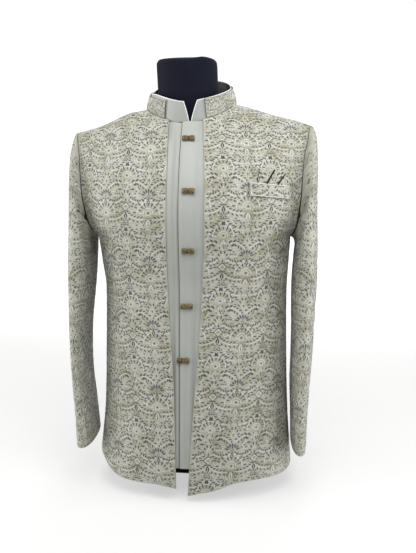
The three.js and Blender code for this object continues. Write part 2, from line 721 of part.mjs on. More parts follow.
// Knot buttons: two lobes on a narrow waist
function knotGeometry() {
  const half = BUTTON_LENGTH / 2;
  const profile = [];
  const steps = 10;
  for (let k = 0; k <= steps; k += 1) {
    const t = k / steps;
    const x = -half * Math.cos(Math.PI * t);
    const lobe = Math.sin(Math.PI * t) ** 0.6;
    const waist = (BUTTON_RADIUS - BUTTON_WAIST) * Math.exp(-((x / 3) ** 2));
    const end = k === 0 || k === steps;
    profile.push(new THREE.Vector2(end ? 0 : BUTTON_RADIUS * lobe - waist, x));
  }
  const turned = new THREE.LatheGeometry(profile, 10);
  turned.rotateZ(Math.PI / 2);
  turned.scale(1, BUTTON_FLAT, 1);
  turned.deleteAttribute("normal");
  turned.deleteAttribute("uv");
  return mergeVertices(turned, 1e-3);
}
buttonRows.forEach(({ x, z }, k) => {
  const out = -WALL - IVORY_DEEP + GAP + BUTTON_RADIUS * BUTTON_FLAT;
  const geometry = knotGeometry();
  const tilt = Math.atan2(-frontNormal(x, z).z, -frontNormal(x, z).y);
  geometry.rotateX(tilt);
  const place = ivoryPoint(x, z, out);
  geometry.translate(place.x, place.y, place.z);
  geometry.computeVertexNormals();
  addMesh("button_" + (k + 1), geometry, "gold");
});

// Breast welt, and the square that stands out of it
const weltTop = (x) => WELT.topZ - (WELT.drop * (x - WELT.inner)) / (WELT.outer - WELT.inner);
{
  const columns = 8;
  const rows = 2;
  const layer = (out) => {
    const grid = [];
    for (let j = 0; j <= rows; j += 1) {
      const row = [];
      for (let i = 0; i <= columns; i += 1) {
        const x = lerp(WELT.inner, WELT.outer, i / columns);
        row.push(frontPoint(x, weltTop(x) - WELT.height * (1 - j / rows), out));
      }
      grid.push(row);
    }
    return grid;
  };
  addMesh("breast_welt", wallBetween(layer(GAP + WELT.thick), layer(GAP)), "embroidered");
  const squareLayer = (extra) =>
    [0, 0.5, 1].map((share) =>
      squareRows.map(({ x, height, lift }) => {
        const z = weltTop(x) + GAP + height * share;
        return frontPoint(x, z, GAP + extra + lift * (0.4 + 0.6 * share));
      }),
    );
  addMesh("pocket_square", wallBetween(squareLayer(SQUARE_THICK), squareLayer(0)), "embroidered");
}

// Dress form: a smooth torso with no limbs, and its neck
function formRing(z, around) {
  const ridge = (x) => ridgeZ(x, false) - FORM_SEAT;
  const ring = [];
  const limit = (side) => {
    let x = read(formRows, "z", z, "half");
    while (ridge(side * x) < z && x > 1) x -= 0.25;
    return x;
  };
  const halves = { left: limit(1), right: limit(-1) };
  for (let i = 0; i < around; i += 1) {
    const a = (2 * Math.PI * i) / around;
    const s = Math.sin(a);
    const c = Math.cos(a);
    const r = (Math.abs(s) ** FORM_POWER + Math.abs(c) ** FORM_POWER) ** (-1 / FORM_POWER);
    const x = (s > 0 ? halves.left : halves.right) * r * s;
    const back = c < 0;
    const t = clamp((ridge(x) - z) / (back ? FALL_BACK : FALL_FRONT), 0, 1);
    const share = (1 - (1 - t) ** 2) ** FALL_POWER;
    const reach = read(formRows, "z", z, back ? "back" : "front");
    ring.push(new THREE.Vector3(x, -reach * r * c * share, z));
  }
  return ring;
}

const wasm = await Module();
wasm.setup();
function toSolid(geometry) {
  const bare = geometry.clone();
  bare.deleteAttribute("normal");
  bare.deleteAttribute("uv");
  const merged = mergeVertices(bare, 1e-4);
  return new wasm.Manifold(
    new wasm.Mesh({
      numProp: 3,
      vertProperties: merged.attributes.position.array,
      triVerts: new Uint32Array(merged.index.array),
    }),
  );
}
function fromSolid(solid) {
  const mesh = solid.getMesh();
  const geometry = new THREE.BufferGeometry();
  geometry.setAttribute("position", new THREE.BufferAttribute(mesh.vertProperties, 3));
  geometry.setIndex(new THREE.BufferAttribute(mesh.triVerts, 1));
  geometry.computeVertexNormals();
  return geometry;
}
{
  const levels = [
    0, 20, 48, 62, 72, 80, 88, 96, 106, 118, 145, 180, 240, 300, 350, 404, 450, 500, 560, 600, 635, 660, 680, 690, 697, 703, 709, 714, 718, 722,
    726, 730, 734, 736, 738, 740, 742, 744, 746, 748,
  ];
  const rings = levels.map((z) => formRing(z, FORM_AROUND));
  const peak = rings.at(-1)[0].clone().setX(0).setY(0).setZ(750);
  const torso = solidThroughRings(rings, new THREE.Vector3(0, FOOT_MIDDLE, 0), peak);
  const neckRing = (z, scale) =>
    Array.from({ length: NECK_AROUND }, (_, i) => {
      const a = (2 * Math.PI * i) / NECK_AROUND;
      const x = FORM_NECK.x * clamp((z - 640) / 190, 0, 1) + FORM_NECK.half * scale * Math.sin(a);
      return new THREE.Vector3(x, FORM_NECK.y - FORM_NECK.reach * scale * Math.cos(a), z);
    });
  const neckRings = [
    neckRing(640, 0.85),
    neckRing(740, 1),
    neckRing(775, 1),
    neckRing(NECK_TOP_Z - 2.5, 1),
    neckRing(NECK_TOP_Z, 0.955),
    neckRing(NECK_TOP_Z + 1.6, 0.6),
  ];
  const neck = solidThroughRings(
    neckRings,
    new THREE.Vector3(0, FORM_NECK.y, 640),
    new THREE.Vector3(FORM_NECK.x, FORM_NECK.y, NECK_TOP_Z + FORM_NECK.dome),
  );
  addMesh("dress_form", fromSolid(toSolid(torso).add(toSolid(neck))), "navy");
}

export default jacket;
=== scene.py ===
"""A bandhgala jacket on a limbless dress form.

Its embroidered fronts hang open over an ivory buttoned inner front.
"""

import math

import bmesh
import bpy
import numpy as np
from mathutils import Euler, Matrix, Vector


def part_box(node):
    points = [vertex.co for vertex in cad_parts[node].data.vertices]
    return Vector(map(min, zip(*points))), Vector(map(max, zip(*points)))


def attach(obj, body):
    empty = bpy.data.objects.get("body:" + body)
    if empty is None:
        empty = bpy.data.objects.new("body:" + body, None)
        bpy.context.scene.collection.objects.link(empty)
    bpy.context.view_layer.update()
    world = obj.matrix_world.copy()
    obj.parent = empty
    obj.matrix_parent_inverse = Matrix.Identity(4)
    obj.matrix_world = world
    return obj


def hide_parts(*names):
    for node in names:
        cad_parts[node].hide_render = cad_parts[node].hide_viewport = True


bl_info = {
    "name": "Bandhgala jacket",
    "version": (1, 0, 0),
    "blender": (4, 5, 0),
    "location": "View3D > Sidebar > Jacket",
    "description": "Dresses the packed jacket in its cloth, embroidery, buttons and form",
    "category": "Object",
}

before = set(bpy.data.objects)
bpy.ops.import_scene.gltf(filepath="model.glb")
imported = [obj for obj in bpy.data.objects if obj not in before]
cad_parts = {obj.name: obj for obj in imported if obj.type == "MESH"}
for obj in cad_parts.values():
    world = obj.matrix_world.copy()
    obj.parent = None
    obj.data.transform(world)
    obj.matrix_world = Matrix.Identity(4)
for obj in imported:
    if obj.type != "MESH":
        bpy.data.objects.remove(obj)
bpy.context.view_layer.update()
MM = 0.001
SIDES = {"right": -1, "left": 1}


def linear(red, green, blue):
    """A colour given as it shows on a screen, 0 to 255, in the shader's own linear numbers."""
    shares = (channel / 255 for channel in (red, green, blue))
    return tuple(s / 12.92 if s <= 0.04045 else ((s + 0.055) / 1.055) ** 2.4 for s in shares)


def colour_setting(name, description, shown):
    return bpy.props.FloatVectorProperty(
        name=name, description=description, default=linear(*shown),
        size=3, subtype="COLOR", min=0, max=1,
    )


def length_setting(name, description, millimetres):
    return bpy.props.FloatProperty(
        name=name, description=description, default=millimetres * MM, unit="LENGTH", precision=5
    )


class EmbroideredClothSettings(bpy.types.PropertyGroup):
    wall: length_setting("Wall", "Thickness of the cloth with its backing", 2.1)
    step: length_setting("Step", "Distance between points of its surface", 4.6)
    ground: colour_setting("Ground", "Plain cloth between the threads", (182, 182, 171))
    ground_shade: colour_setting("Ground shade", "Olive mottling of the plain cloth", (150, 148, 126))
    lining: colour_setting("Lining", "Inside of the body and the sleeves", (58, 16, 20))
    edge: colour_setting("Edge", "Turned edges and seams", (96, 88, 60))
    # Painted shade: colour of the dark cords that stand for the shadow in the armhole seams and the
    # square's slits
    hollow: colour_setting("Hollow", "Sunken seams and the square's slits", (38, 32, 20))


class EmbroiderySettings(bpy.types.PropertyGroup):
    repeat_width: length_setting("Repeat width", "Distance between two columns of large fans", 89.2)
    repeat_height: length_setting("Repeat height", "Distance from one large fan to the next above", 122)
    relief: length_setting("Relief", "How far the threads stand up", 0.55)
    grey: colour_setting("Grey thread", "Dark leaves", (70, 72, 73))
    slate: colour_setting("Slate thread", "Blue-grey flowers and bunches", (86, 90, 102))
    ivory: colour_setting("Ivory thread", "Pale cords and leaves", (250, 251, 246))
    brown: colour_setting("Brown thread", "Small dots and sprays", (112, 96, 70))
    olive: colour_setting("Olive thread", "Fan centres", (142, 138, 92))
    gold: colour_setting("Gold thread", "Flower centres", (172, 162, 128))


class IvoryClothSettings(bpy.types.PropertyGroup):
    wall: length_setting("Wall", "Thickness of the ivory cloth", 1.4)
    step: length_setting("Step", "Distance between points of its surface", 3)
    satin: colour_setting("Satin", "The ivory cloth", (176, 179, 174))
    piping: colour_setting("Piping", "Edge of the inner collar", (252, 252, 250))


class KnotSettings(bpy.types.PropertyGroup):
    length: length_setting("Length", "Of one knot button", 23)
    radius: length_setting("Radius", "Of its lobes", 5.4)
    bright: colour_setting("Bright", "The cord where it catches the light", (140, 122, 82))
    dark: colour_setting("Dark", "The cord in its hollows", (66, 54, 34))


class FormSettings(bpy.types.PropertyGroup):
    cover: colour_setting("Cover", "Dark blue cover of the form", (6, 9, 26))
    voxel: length_setting("Fineness", "Of the smooth form's surface", 5.5)


class StageSettings(bpy.types.PropertyGroup):
    distance: bpy.props.FloatProperty(
        name="Distance", description="From the camera to the form's axis", default=1.2, unit="LENGTH"
    )
    height: bpy.props.FloatProperty(
        name="Height", description="Of the camera above the floor", default=0.588, unit="LENGTH"
    )
    turn: bpy.props.FloatProperty(
        name="Turn", description="How far round to the wearer's left it stands",
        default=math.radians(6.5), subtype="ANGLE",
    )
    floor: colour_setting("Floor", "Plain pale floor", (178, 178, 177))


SETTINGS = {
    "jacket_cloth": EmbroideredClothSettings,
    "jacket_embroidery": EmbroiderySettings,
    "jacket_ivory": IvoryClothSettings,
    "jacket_knots": KnotSettings,
    "jacket_form": FormSettings,
    "jacket_stage": StageSettings,
}


class Value:
    """A node's output, with arithmetic that adds Math nodes."""

    def __init__(self, finish, socket):
        self.finish = finish
        self.socket = socket

    def math(self, operation, *values):
        return self.finish.node("ShaderNodeMath", {"operation": operation}, dict(enumerate(values)))

    def __add__(self, other):
        return self.math("ADD", self, other)

    def __radd__(self, other):
        return self.math("ADD", other, self)

    def __sub__(self, other):
        return self.math("SUBTRACT", self, other)

    def __rsub__(self, other):
        return self.math("SUBTRACT", other, self)

    def __mul__(self, other):
        return self.math("MULTIPLY", self, other)

    def __rmul__(self, other):
        return self.math("MULTIPLY", other, self)

    def sine(self):
        return self.math("SINE", self)

    def above(self, low, high):
        """0 below low, 1 above high, and smooth between them."""
        settings = {"interpolation_type": "SMOOTHSTEP"}
        return self.finish.node("ShaderNodeMapRange", settings, {0: self, 1: low, 2: high, 3: 0, 4: 1})


class Finish:
    """A material made of nodes round one shader."""

    def __init__(self, name, constants):
        self.material = bpy.data.materials.new(name)
        self.material.use_nodes = True
        self.tree = self.material.node_tree
        self.tree.nodes.clear()
        self.shader = self.tree.nodes.new("ShaderNodeBsdfPrincipled")
        output = self.tree.nodes.new("ShaderNodeOutputMaterial")
        self.tree.links.new(self.shader.outputs[0], output.inputs[0])
        for socket, value in constants.items():
            self.feed(socket, value)

    def put(self, socket, value):
        if isinstance(value, Value):
            self.tree.links.new(value.socket, socket)
        elif socket.type == "RGBA" and len(value) == 3:
            socket.default_value = (*value, 1)
        else:
            socket.default_value = value

    def node(self, kind, settings, inputs, output=0):
        made = self.tree.nodes.new(kind)
        for key, value in settings.items():
            setattr(made, key, value)
        for key, value in inputs.items():
            self.put(made.inputs[key], value)
        return Value(self, made.outputs[output])

    def feed(self, socket, value):
        self.put(self.shader.inputs[socket], value)

    def place(self):
        return self.node("ShaderNodeTexCoord", {}, {}, "Object")

    def pattern(self):
        return self.node("ShaderNodeUVMap", {"uv_map": "pattern"}, {})

    def part(self, vector, axis):
        return self.node("ShaderNodeSeparateXYZ", {}, {0: vector}, axis)

    def stretched(self, vector, scale):
        return self.node("ShaderNodeMapping", {}, {"Vector": vector, "Scale": scale})

    def waves(self, vector, axis, spacing):
        """Even waves along one axis, from -1 to 1."""
        return (self.part(vector, axis) * (2 * math.pi / spacing)).sine()

    def noise(self, vector, scale, detail):
        inputs = {"Vector": vector, "Scale": scale, "Detail": detail, "Roughness": 0.55}
        return self.node("ShaderNodeTexNoise", {}, inputs)

    def cells(self, vector, scale):
        return self.node("ShaderNodeTexVoronoi", {}, {"Vector": vector, "Scale": scale})

    def mix(self, share, first, second):
        return self.node("ShaderNodeMix", {"data_type": "RGBA"}, {0: share, 6: first, 7: second}, 2)

    def bump(self, height, distance, strength=1.0):
        inputs = {"Height": height, "Distance": distance, "Strength": strength}
        self.feed("Normal", self.node("ShaderNodeBump", {}, inputs))


def darker(colour, share):
    return tuple(channel * share for channel in colour)


def cloth_finish(name, ground, shade, roughness, sheen):
    """Woven cloth with soft mottling, its threads following the pattern map."""
    finish = Finish(name, {"Sheen Weight": sheen, "Sheen Roughness": 0.45, "Specular IOR Level": 0.3})
    at = finish.pattern()
    warp = finish.waves(at, "X", 1.3 * MM)
    weft = finish.waves(at, "Y", 1.3 * MM)
    slub = finish.noise(finish.stretched(at, (1, 0.16, 1)), 700, 2)
    broad = finish.noise(at, 26, 4)
    fine = finish.cells(at, 420)
    mottled = finish.mix(broad.above(0.42, 0.66) * 0.7 + fine * 0.3, ground, shade)
    finish.feed("Base Color", mottled)
    finish.feed("Roughness", broad * 0.14 + (roughness - 0.07))
    finish.bump(warp * weft * 0.5 + slub * 0.7, 0.12 * MM)
    return finish.material


def thread_finish(name, colour):
    """Satin-stitched thread: fine ridges across each leaf, with painted shade making it a little darker
    in stripes that follow them.
    """
    finish = Finish(name, {"Sheen Weight": 0.08, "Sheen Roughness": 0.35, "Specular IOR Level": 0.4})
    at = finish.pattern()
    ridges = finish.waves(at, "Y", 0.55 * MM)
    uneven = finish.noise(finish.place(), 90, 2)
    finish.feed("Base Color", finish.mix(ridges * 0.16 + uneven * 0.5, colour, darker(colour, 0.62)))
    finish.feed("Roughness", uneven * 0.2 + 0.4)
    finish.bump(ridges, 0.1 * MM, 0.8)
    return finish.material


def edge_finish(name, colour):
    """Turned and pressed edge, with close stitches; in a near-black colour it also paints the shade of
    the armhole seams and the square's folds.
    """
    finish = Finish(name, {"Sheen Weight": 0.2, "Specular IOR Level": 0.3})
    at = finish.place()
    stitches = finish.waves(at, "Z", 2.4 * MM)
    uneven = finish.noise(at, 180, 3)
    finish.feed("Base Color", finish.mix(stitches * 0.2 + uneven * 0.6, colour, darker(colour, 0.5)))
    finish.feed("Roughness", uneven * 0.2 + 0.6)
    finish.bump(stitches * 0.6 + uneven, 0.15 * MM)
    return finish.material


def lining_finish(name, colour):
    """Smooth dark satin lining."""
    finish = Finish(name, {"Sheen Weight": 0.1, "Specular IOR Level": 0.4})
    at = finish.place()
    streaks = finish.noise(finish.stretched(at, (1, 1, 0.06)), 500, 2)
    finish.feed("Base Color", finish.mix(streaks, colour, darker(colour, 0.55)))
    finish.feed("Roughness", streaks * 0.2 + 0.35)
    finish.bump(streaks, 0.05 * MM)
    return finish.material


def ivory_finish(name, colour):
    """Ivory satin: a fine upright thread and a soft sheen."""
    finish = Finish(name, {"Sheen Weight": 0.3, "Sheen Roughness": 0.3, "Specular IOR Level": 0.4})
    at = finish.pattern()
    upright = finish.noise(finish.stretched(at, (1, 0.05, 1)), 900, 2)
    weft = finish.waves(at, "Y", 0.9 * MM)
    broad = finish.noise(at, 18, 3)
    shade = tuple(channel * share for channel, share in zip(colour, (0.82, 0.83, 0.8)))
    finish.feed("Base Color", finish.mix(upright * 0.35 + broad * 0.3, colour, shade))
    finish.feed("Roughness", broad * 0.12 + 0.37)
    finish.bump(upright + weft * 0.25, 0.07 * MM)
    return finish.material


def knot_finish(name, bright, dark):
    """Antique gold cord, dark where it is worn and in its hollows."""
    finish = Finish(name, {"Specular IOR Level": 0.5})
    at = finish.place()
    worn = finish.noise(at, 260, 4)
    plies = finish.cells(at, 900)
    finish.feed("Base Color", finish.mix(worn.above(0.4, 0.62) * 0.8 + plies * 0.2, bright, dark))
    finish.feed("Metallic", 0.6 - worn * 0.4)
    finish.feed("Roughness", worn * 0.3 + 0.28)
    finish.bump(plies, 0.2 * MM)
    return finish.material


def form_finish(name, colour):
    """Matt dark blue knitted cover."""
    finish = Finish(name, {"Sheen Weight": 0.03, "Sheen Roughness": 0.6, "Specular IOR Level": 0.14})
    at = finish.place()
    knit = finish.cells(finish.stretched(at, (1, 1, 0.6)), 800)
    lint = finish.noise(at, 60, 4)
    pale = tuple(channel * 1.3 + 0.001 for channel in colour)
    finish.feed("Base Color", finish.mix(lint.above(0.5, 0.75) * 0.6, colour, pale))
    finish.feed("Roughness", lint * 0.15 + 0.72)
    finish.bump(knit, 0.25 * MM)
    return finish.material


def floor_finish(name, colour):
    """Plain pale floor, which glows for the camera alone, so that it sends up little light."""
    finish = Finish(name, {"Roughness": 0.75, "Emission Strength": 0.85})
    back = finish.part(finish.place(), "Y").above(0.3, 2.2)
    seen = finish.node("ShaderNodeLightPath", {}, {}, "Is Camera Ray")
    glow = finish.mix(back, (0.6, 0.6, 0.6), (1, 1, 1))
    finish.feed("Emission Color", finish.mix(seen, (0, 0, 0), glow))
    grain = finish.noise(finish.place(), 40, 3)
    finish.feed("Base Color", finish.mix(grain, colour, darker(colour, 0.985)))
    return finish.material


def made(name, mesh, *materials):
    """An object of the mesh, in the scene, with its materials."""
    piece = bpy.data.objects.new(name, mesh)
    bpy.context.scene.collection.objects.link(piece)
    for material in materials:
        mesh.materials.append(material)
    return piece


def shade_smooth(mesh):
    mesh.polygons.foreach_set("use_smooth", np.ones(len(mesh.polygons), bool))


def from_bmesh(name, shape, *materials):
    mesh = bpy.data.meshes.new(name)
    shape.to_mesh(mesh)
    shape.free()
    shade_smooth(mesh)
    return made(name, mesh, *materials)


def finished_mesh(piece, name):
    """The piece with its modifiers applied, as a new object that takes its place."""
    depsgraph = bpy.context.evaluated_depsgraph_get()
    mesh = bpy.data.meshes.new_from_object(piece.evaluated_get(depsgraph))
    bpy.data.objects.remove(piece)
    mesh.name = name
    return made(name, mesh)


def carried(piece, node=None):
    """The piece, riding with the jacket and standing for a CAD node if one is named."""
    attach(piece, "root")
    if node:
        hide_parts(node)
    return piece


def cord(name, points, radius, material, swell=None):
    """A round cord through the points; swell is its share of the radius at each of them."""
    curve = bpy.data.curves.new(name, "CURVE")
    curve.dimensions = "3D"
    curve.bevel_depth = radius
    curve.bevel_resolution = 2
    curve.use_fill_caps = True
    line = curve.splines.new("POLY")
    line.points.add(len(points) - 1)
    places = np.concatenate([points, np.ones((len(points), 1))], axis=1)
    line.points.foreach_set("co", places.ravel())
    if swell is not None:
        line.points.foreach_set("radius", swell)
    line.use_smooth = True
    holder = bpy.data.objects.new(name, curve)
    bpy.context.scene.collection.objects.link(holder)
    piece = finished_mesh(holder, name)
    piece.data.materials.append(material)
    return carried(piece)


# Surfaces

SHARP = math.radians(15)  # a wall turns by more than this at its corners
RIM_WIDTH = 2.6 * MM  # a face of a wall's rim has a side shorter than this
RIM_SHARE = 0.9  # at least this much of the outside's border lies along the rim
LEVEL = 4 * MM  # distance between the heights at which the way round is measured

# Points of each CAD wall's outside, from the bottom up and along a row
GRIDS = {
    "body": (23, 16),
    "top": (14, 19),
    "under": (14, 7),
    "collar": (4, 35),
    "collar_inner": (4, 41),
    "inner_front_left": (21, 8),
    "inner_front_right": (21, 9),
}


def outer_rows(node, size, axis, order):
    """The outside of a CAD wall as rows of its points, from the bottom up.

    It faces away from the upright line through axis, and order(points) grows along each row.
    """
    rows, columns = size
    shape = bmesh.new()
    shape.from_mesh(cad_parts[node].data)
    bmesh.ops.remove_doubles(shape, verts=shape.verts, dist=1e-5)
    shape.normal_update()
    across, angles, rim = {}, {}, set()
    for face in shape.faces:
        ids = [vertex.index for vertex in face.verts]
        if min(edge.calc_length() for edge in face.edges) < RIM_WIDTH:
            rim.update(frozenset(vertex.index for vertex in edge.verts) for edge in face.edges)
        for k in range(3):
            across.setdefault(frozenset((ids[k], ids[k - 1])), []).append(ids[(k + 1) % 3])
    for edge in shape.edges:
        angles[frozenset(vertex.index for vertex in edge.verts)] = edge.calc_face_angle(0)
    places = np.array([tuple(vertex.co) for vertex in shape.verts])
    shape.free()

    def beyond(first, second, known):
        return next((v for v in across.get(frozenset((first, second)), []) if v != known), None)

    def rightward(a, b, c, d):
        far = beyond(b, c, a)
        return b, beyond(b, far, c), far, c

    def upward(a, b, c, d):
        far = beyond(d, c, a)
        return d, c, far, beyond(d, far, c)

    def walked(square):
        """The grid that starts at this square, if its squares don't meet again."""
        lines = []
        for _ in range(rows - 1):
            line, here = [square], square
            while len(line) < columns - 1:
                here = rightward(*here)
                if None in here:
                    return None
                line.append(here)
            lines.append(line)
            square = upward(*square)
            if None in square:
                return None
        ids = [[s[0] for s in line] + [line[-1][1]] for line in lines]
        ids.append([s[3] for s in lines[-1]] + [lines[-1][-1][2]])
        return ids if len({v for row in ids for v in row}) == rows * columns else None

    def rim_share(ids):
        """The share of the grid's border that lies along the wall's narrow rim."""
        border = [*zip(ids[0], ids[0][1:]), *zip(ids[-1], ids[-1][1:])]
        for k in (0, -1):
            border += [(low[k], high[k]) for low, high in zip(ids, ids[1:])]
        return sum(frozenset(pair) in rim for pair in border) / len(border)

    best = None
    for edge, thirds in across.items():
        for a, c in (tuple(edge), tuple(edge)[::-1]):
            for b, d in (thirds, thirds[::-1]):
                if min(angles.get(frozenset((a, side)), 0) for side in (b, d)) < SHARP:
                    continue
                ids = walked((a, b, c, d))
                if ids is None:
                    continue
                away = np.linalg.norm(places[np.array(ids), :2] - np.array(axis), axis=-1).mean()
                score = (round(rim_share(ids), 2), away)
                if best is None or score > best[0]:
                    best = score, ids
    if best is None or best[0][0] < RIM_SHARE:
        raise RuntimeError(f"{node}: its outside isn't a grid of {rows} by {columns} points")
    points = places[np.array(best[1])]
    if np.diff(points[..., 2], axis=0).mean() < 0:
        points = points[::-1]
    if order(points[:, 0]).mean() > order(points[:, -1]).mean():
        points = points[:, ::-1]
    return points


def curve_through(points, count):
    """Rows read at evenly spaced places on smooth curves through the given ones."""
    steps = np.linalg.norm(np.diff(points, axis=0), axis=-1).mean(axis=1)
    places = np.concatenate([[0], np.cumsum(steps)])
    slopes = np.empty_like(points)
    slopes[1:-1] = (points[2:] - points[:-2]) / (places[2:] - places[:-2])[:, None, None]
    slopes[0] = (points[1] - points[0]) / steps[0]
    slopes[-1] = (points[-1] - points[-2]) / steps[-1]
    wanted = np.linspace(0, places[-1], count)
    k = np.clip(np.searchsorted(places, wanted, side="right") - 1, 0, len(steps) - 1)
    gap = steps[k][:, None, None]
    u = (wanted - places[k])[:, None, None] / gap
    return (
        (2 * u**3 - 3 * u**2 + 1) * points[k]
        + (u**3 - 2 * u**2 + u) * gap * slopes[k]
        + (3 * u**2 - 2 * u**3) * points[k + 1]
        + (u**3 - u**2) * gap * slopes[k + 1]
    )


def fine_rows(points, step):
    """The grid of points read step by step on smooth curves through it, both ways."""

    def count(axis):
        lengths = np.linalg.norm(np.diff(points, axis=axis), axis=-1).sum(axis=axis)
        return max(int(round(lengths.max() / step)), 4) + 1

    up, across = count(0), count(1)
    return curve_through(curve_through(points, up).swapaxes(0, 1), across).swapaxes(0, 1)


def normals_of(points, axis):
    """Unit normals of a grid of points, facing away from the upright line through axis."""
    across = np.cross(np.gradient(points, axis=1), np.gradient(points, axis=0))
    across /= np.linalg.norm(across, axis=-1, keepdims=True)
    away = points[..., :2] - np.array(axis)
    return across if (across[..., :2] * away).sum() > 0 else -across


def round_from(points, zero):
    """How far round at its own height each point is from column zero."""
    z = points[..., 2]
    levels = np.arange(z.min(), z.max() + LEVEL, LEVEL)
    columns = range(points.shape[1])
    at = np.array([[np.interp(levels, z[:, i], points[:, i, k]) for k in (0, 1)] for i in columns])
    move = np.diff(at, axis=0)
    both = levels[None] <= np.minimum(z[-1, 1:], z[-1, :-1])[:, None]
    steps = np.where(both, np.hypot(move[:, 0], move[:, 1]), np.abs(move[:, 0]))
    far = np.concatenate([np.zeros((1, len(levels))), np.cumsum(steps, axis=0)])
    far -= far[zero]
    return np.array([np.interp(z[:, i], levels, far[i]) for i in columns]).T, levels, at


LEVEL_ROWS_AT = 90 * MM  # the body's rows of pattern climb as the cloth does this far from the middle
SHOULDER_FROM = 630 * MM  # above this height each place climbs by its own slope
SHOULDER_BLEND = 60 * MM
TRUE_AT = 300 * MM  # the pattern's height is the true height here


def body_map(points, side):
    """Pattern coordinates on a front or back: round from its middle edge, and up the cloth."""
    around, levels, at = round_from(points, 0)
    places = np.linspace(0, np.abs(points[..., 0]).max(), 60)
    depth = np.array([np.interp(places, side * at[:, 0, k], at[:, 1, k]) for k in range(len(levels))])
    own = np.hypot(np.diff(levels)[:, None], np.diff(depth, axis=0))
    middle = own[:, [int(np.argmin(np.abs(places - LEVEL_ROWS_AT)))]]
    shoulder = np.clip((levels[1:, None] - SHOULDER_FROM) / SHOULDER_BLEND, 0, 1)
    run = middle + (own - middle) * shoulder
    climbed = np.concatenate([np.zeros((1, len(places))), np.cumsum(run, axis=0)])
    true = int(np.argmin(np.abs(levels - TRUE_AT)))
    climbed += levels[true] - climbed[true]
    row = np.clip((points[..., 2] - levels[0]) / (levels[1] - levels[0]), 0, len(levels) - 1.001)
    column = np.clip(side * points[..., 0] / (places[1] - places[0]), 0, len(places) - 1.001)
    return np.stack([around, read_grid(climbed, row, column)], axis=-1)


def sleeve_map(points):
    """Pattern coordinates on a sleeve: round from its outer line, and up along it."""
    around, _, _ = round_from(points, points.shape[1] // 2)
    climbed = np.cumsum(np.linalg.norm(np.diff(points, axis=0), axis=-1), axis=0)
    up = points[0, :, 2] + np.concatenate([np.zeros((1, points.shape[1])), climbed])
    return np.stack([around, up], axis=-1)


def plain_map(points):
    """Pattern coordinates by plain lengths along rows and columns."""

    def along(axis):
        steps = np.linalg.norm(np.diff(points, axis=axis), axis=-1)
        start = np.zeros_like(np.take(points[..., 0], [0], axis=axis))
        return np.concatenate([start, np.cumsum(steps, axis=axis)], axis=axis)

    return np.stack([along(1), along(0)], axis=-1)


def read_grid(grid, row, column):
    """A grid's values between its points."""
    j, i = row.astype(int), column.astype(int)
    v, u = row - j, column - i
    if grid.ndim > 2:
        v, u = v[..., None], u[..., None]
    low = grid[j, i] * (1 - u) + grid[j, i + 1] * u
    return low * (1 - v) + (grid[j + 1, i] * (1 - u) + grid[j + 1, i + 1] * u) * v


BLOCK = 4000  # pattern coordinates looked up at a time
FIND_STEPS = 16
FIND_REACH = 5  # grid squares moved in one step at most


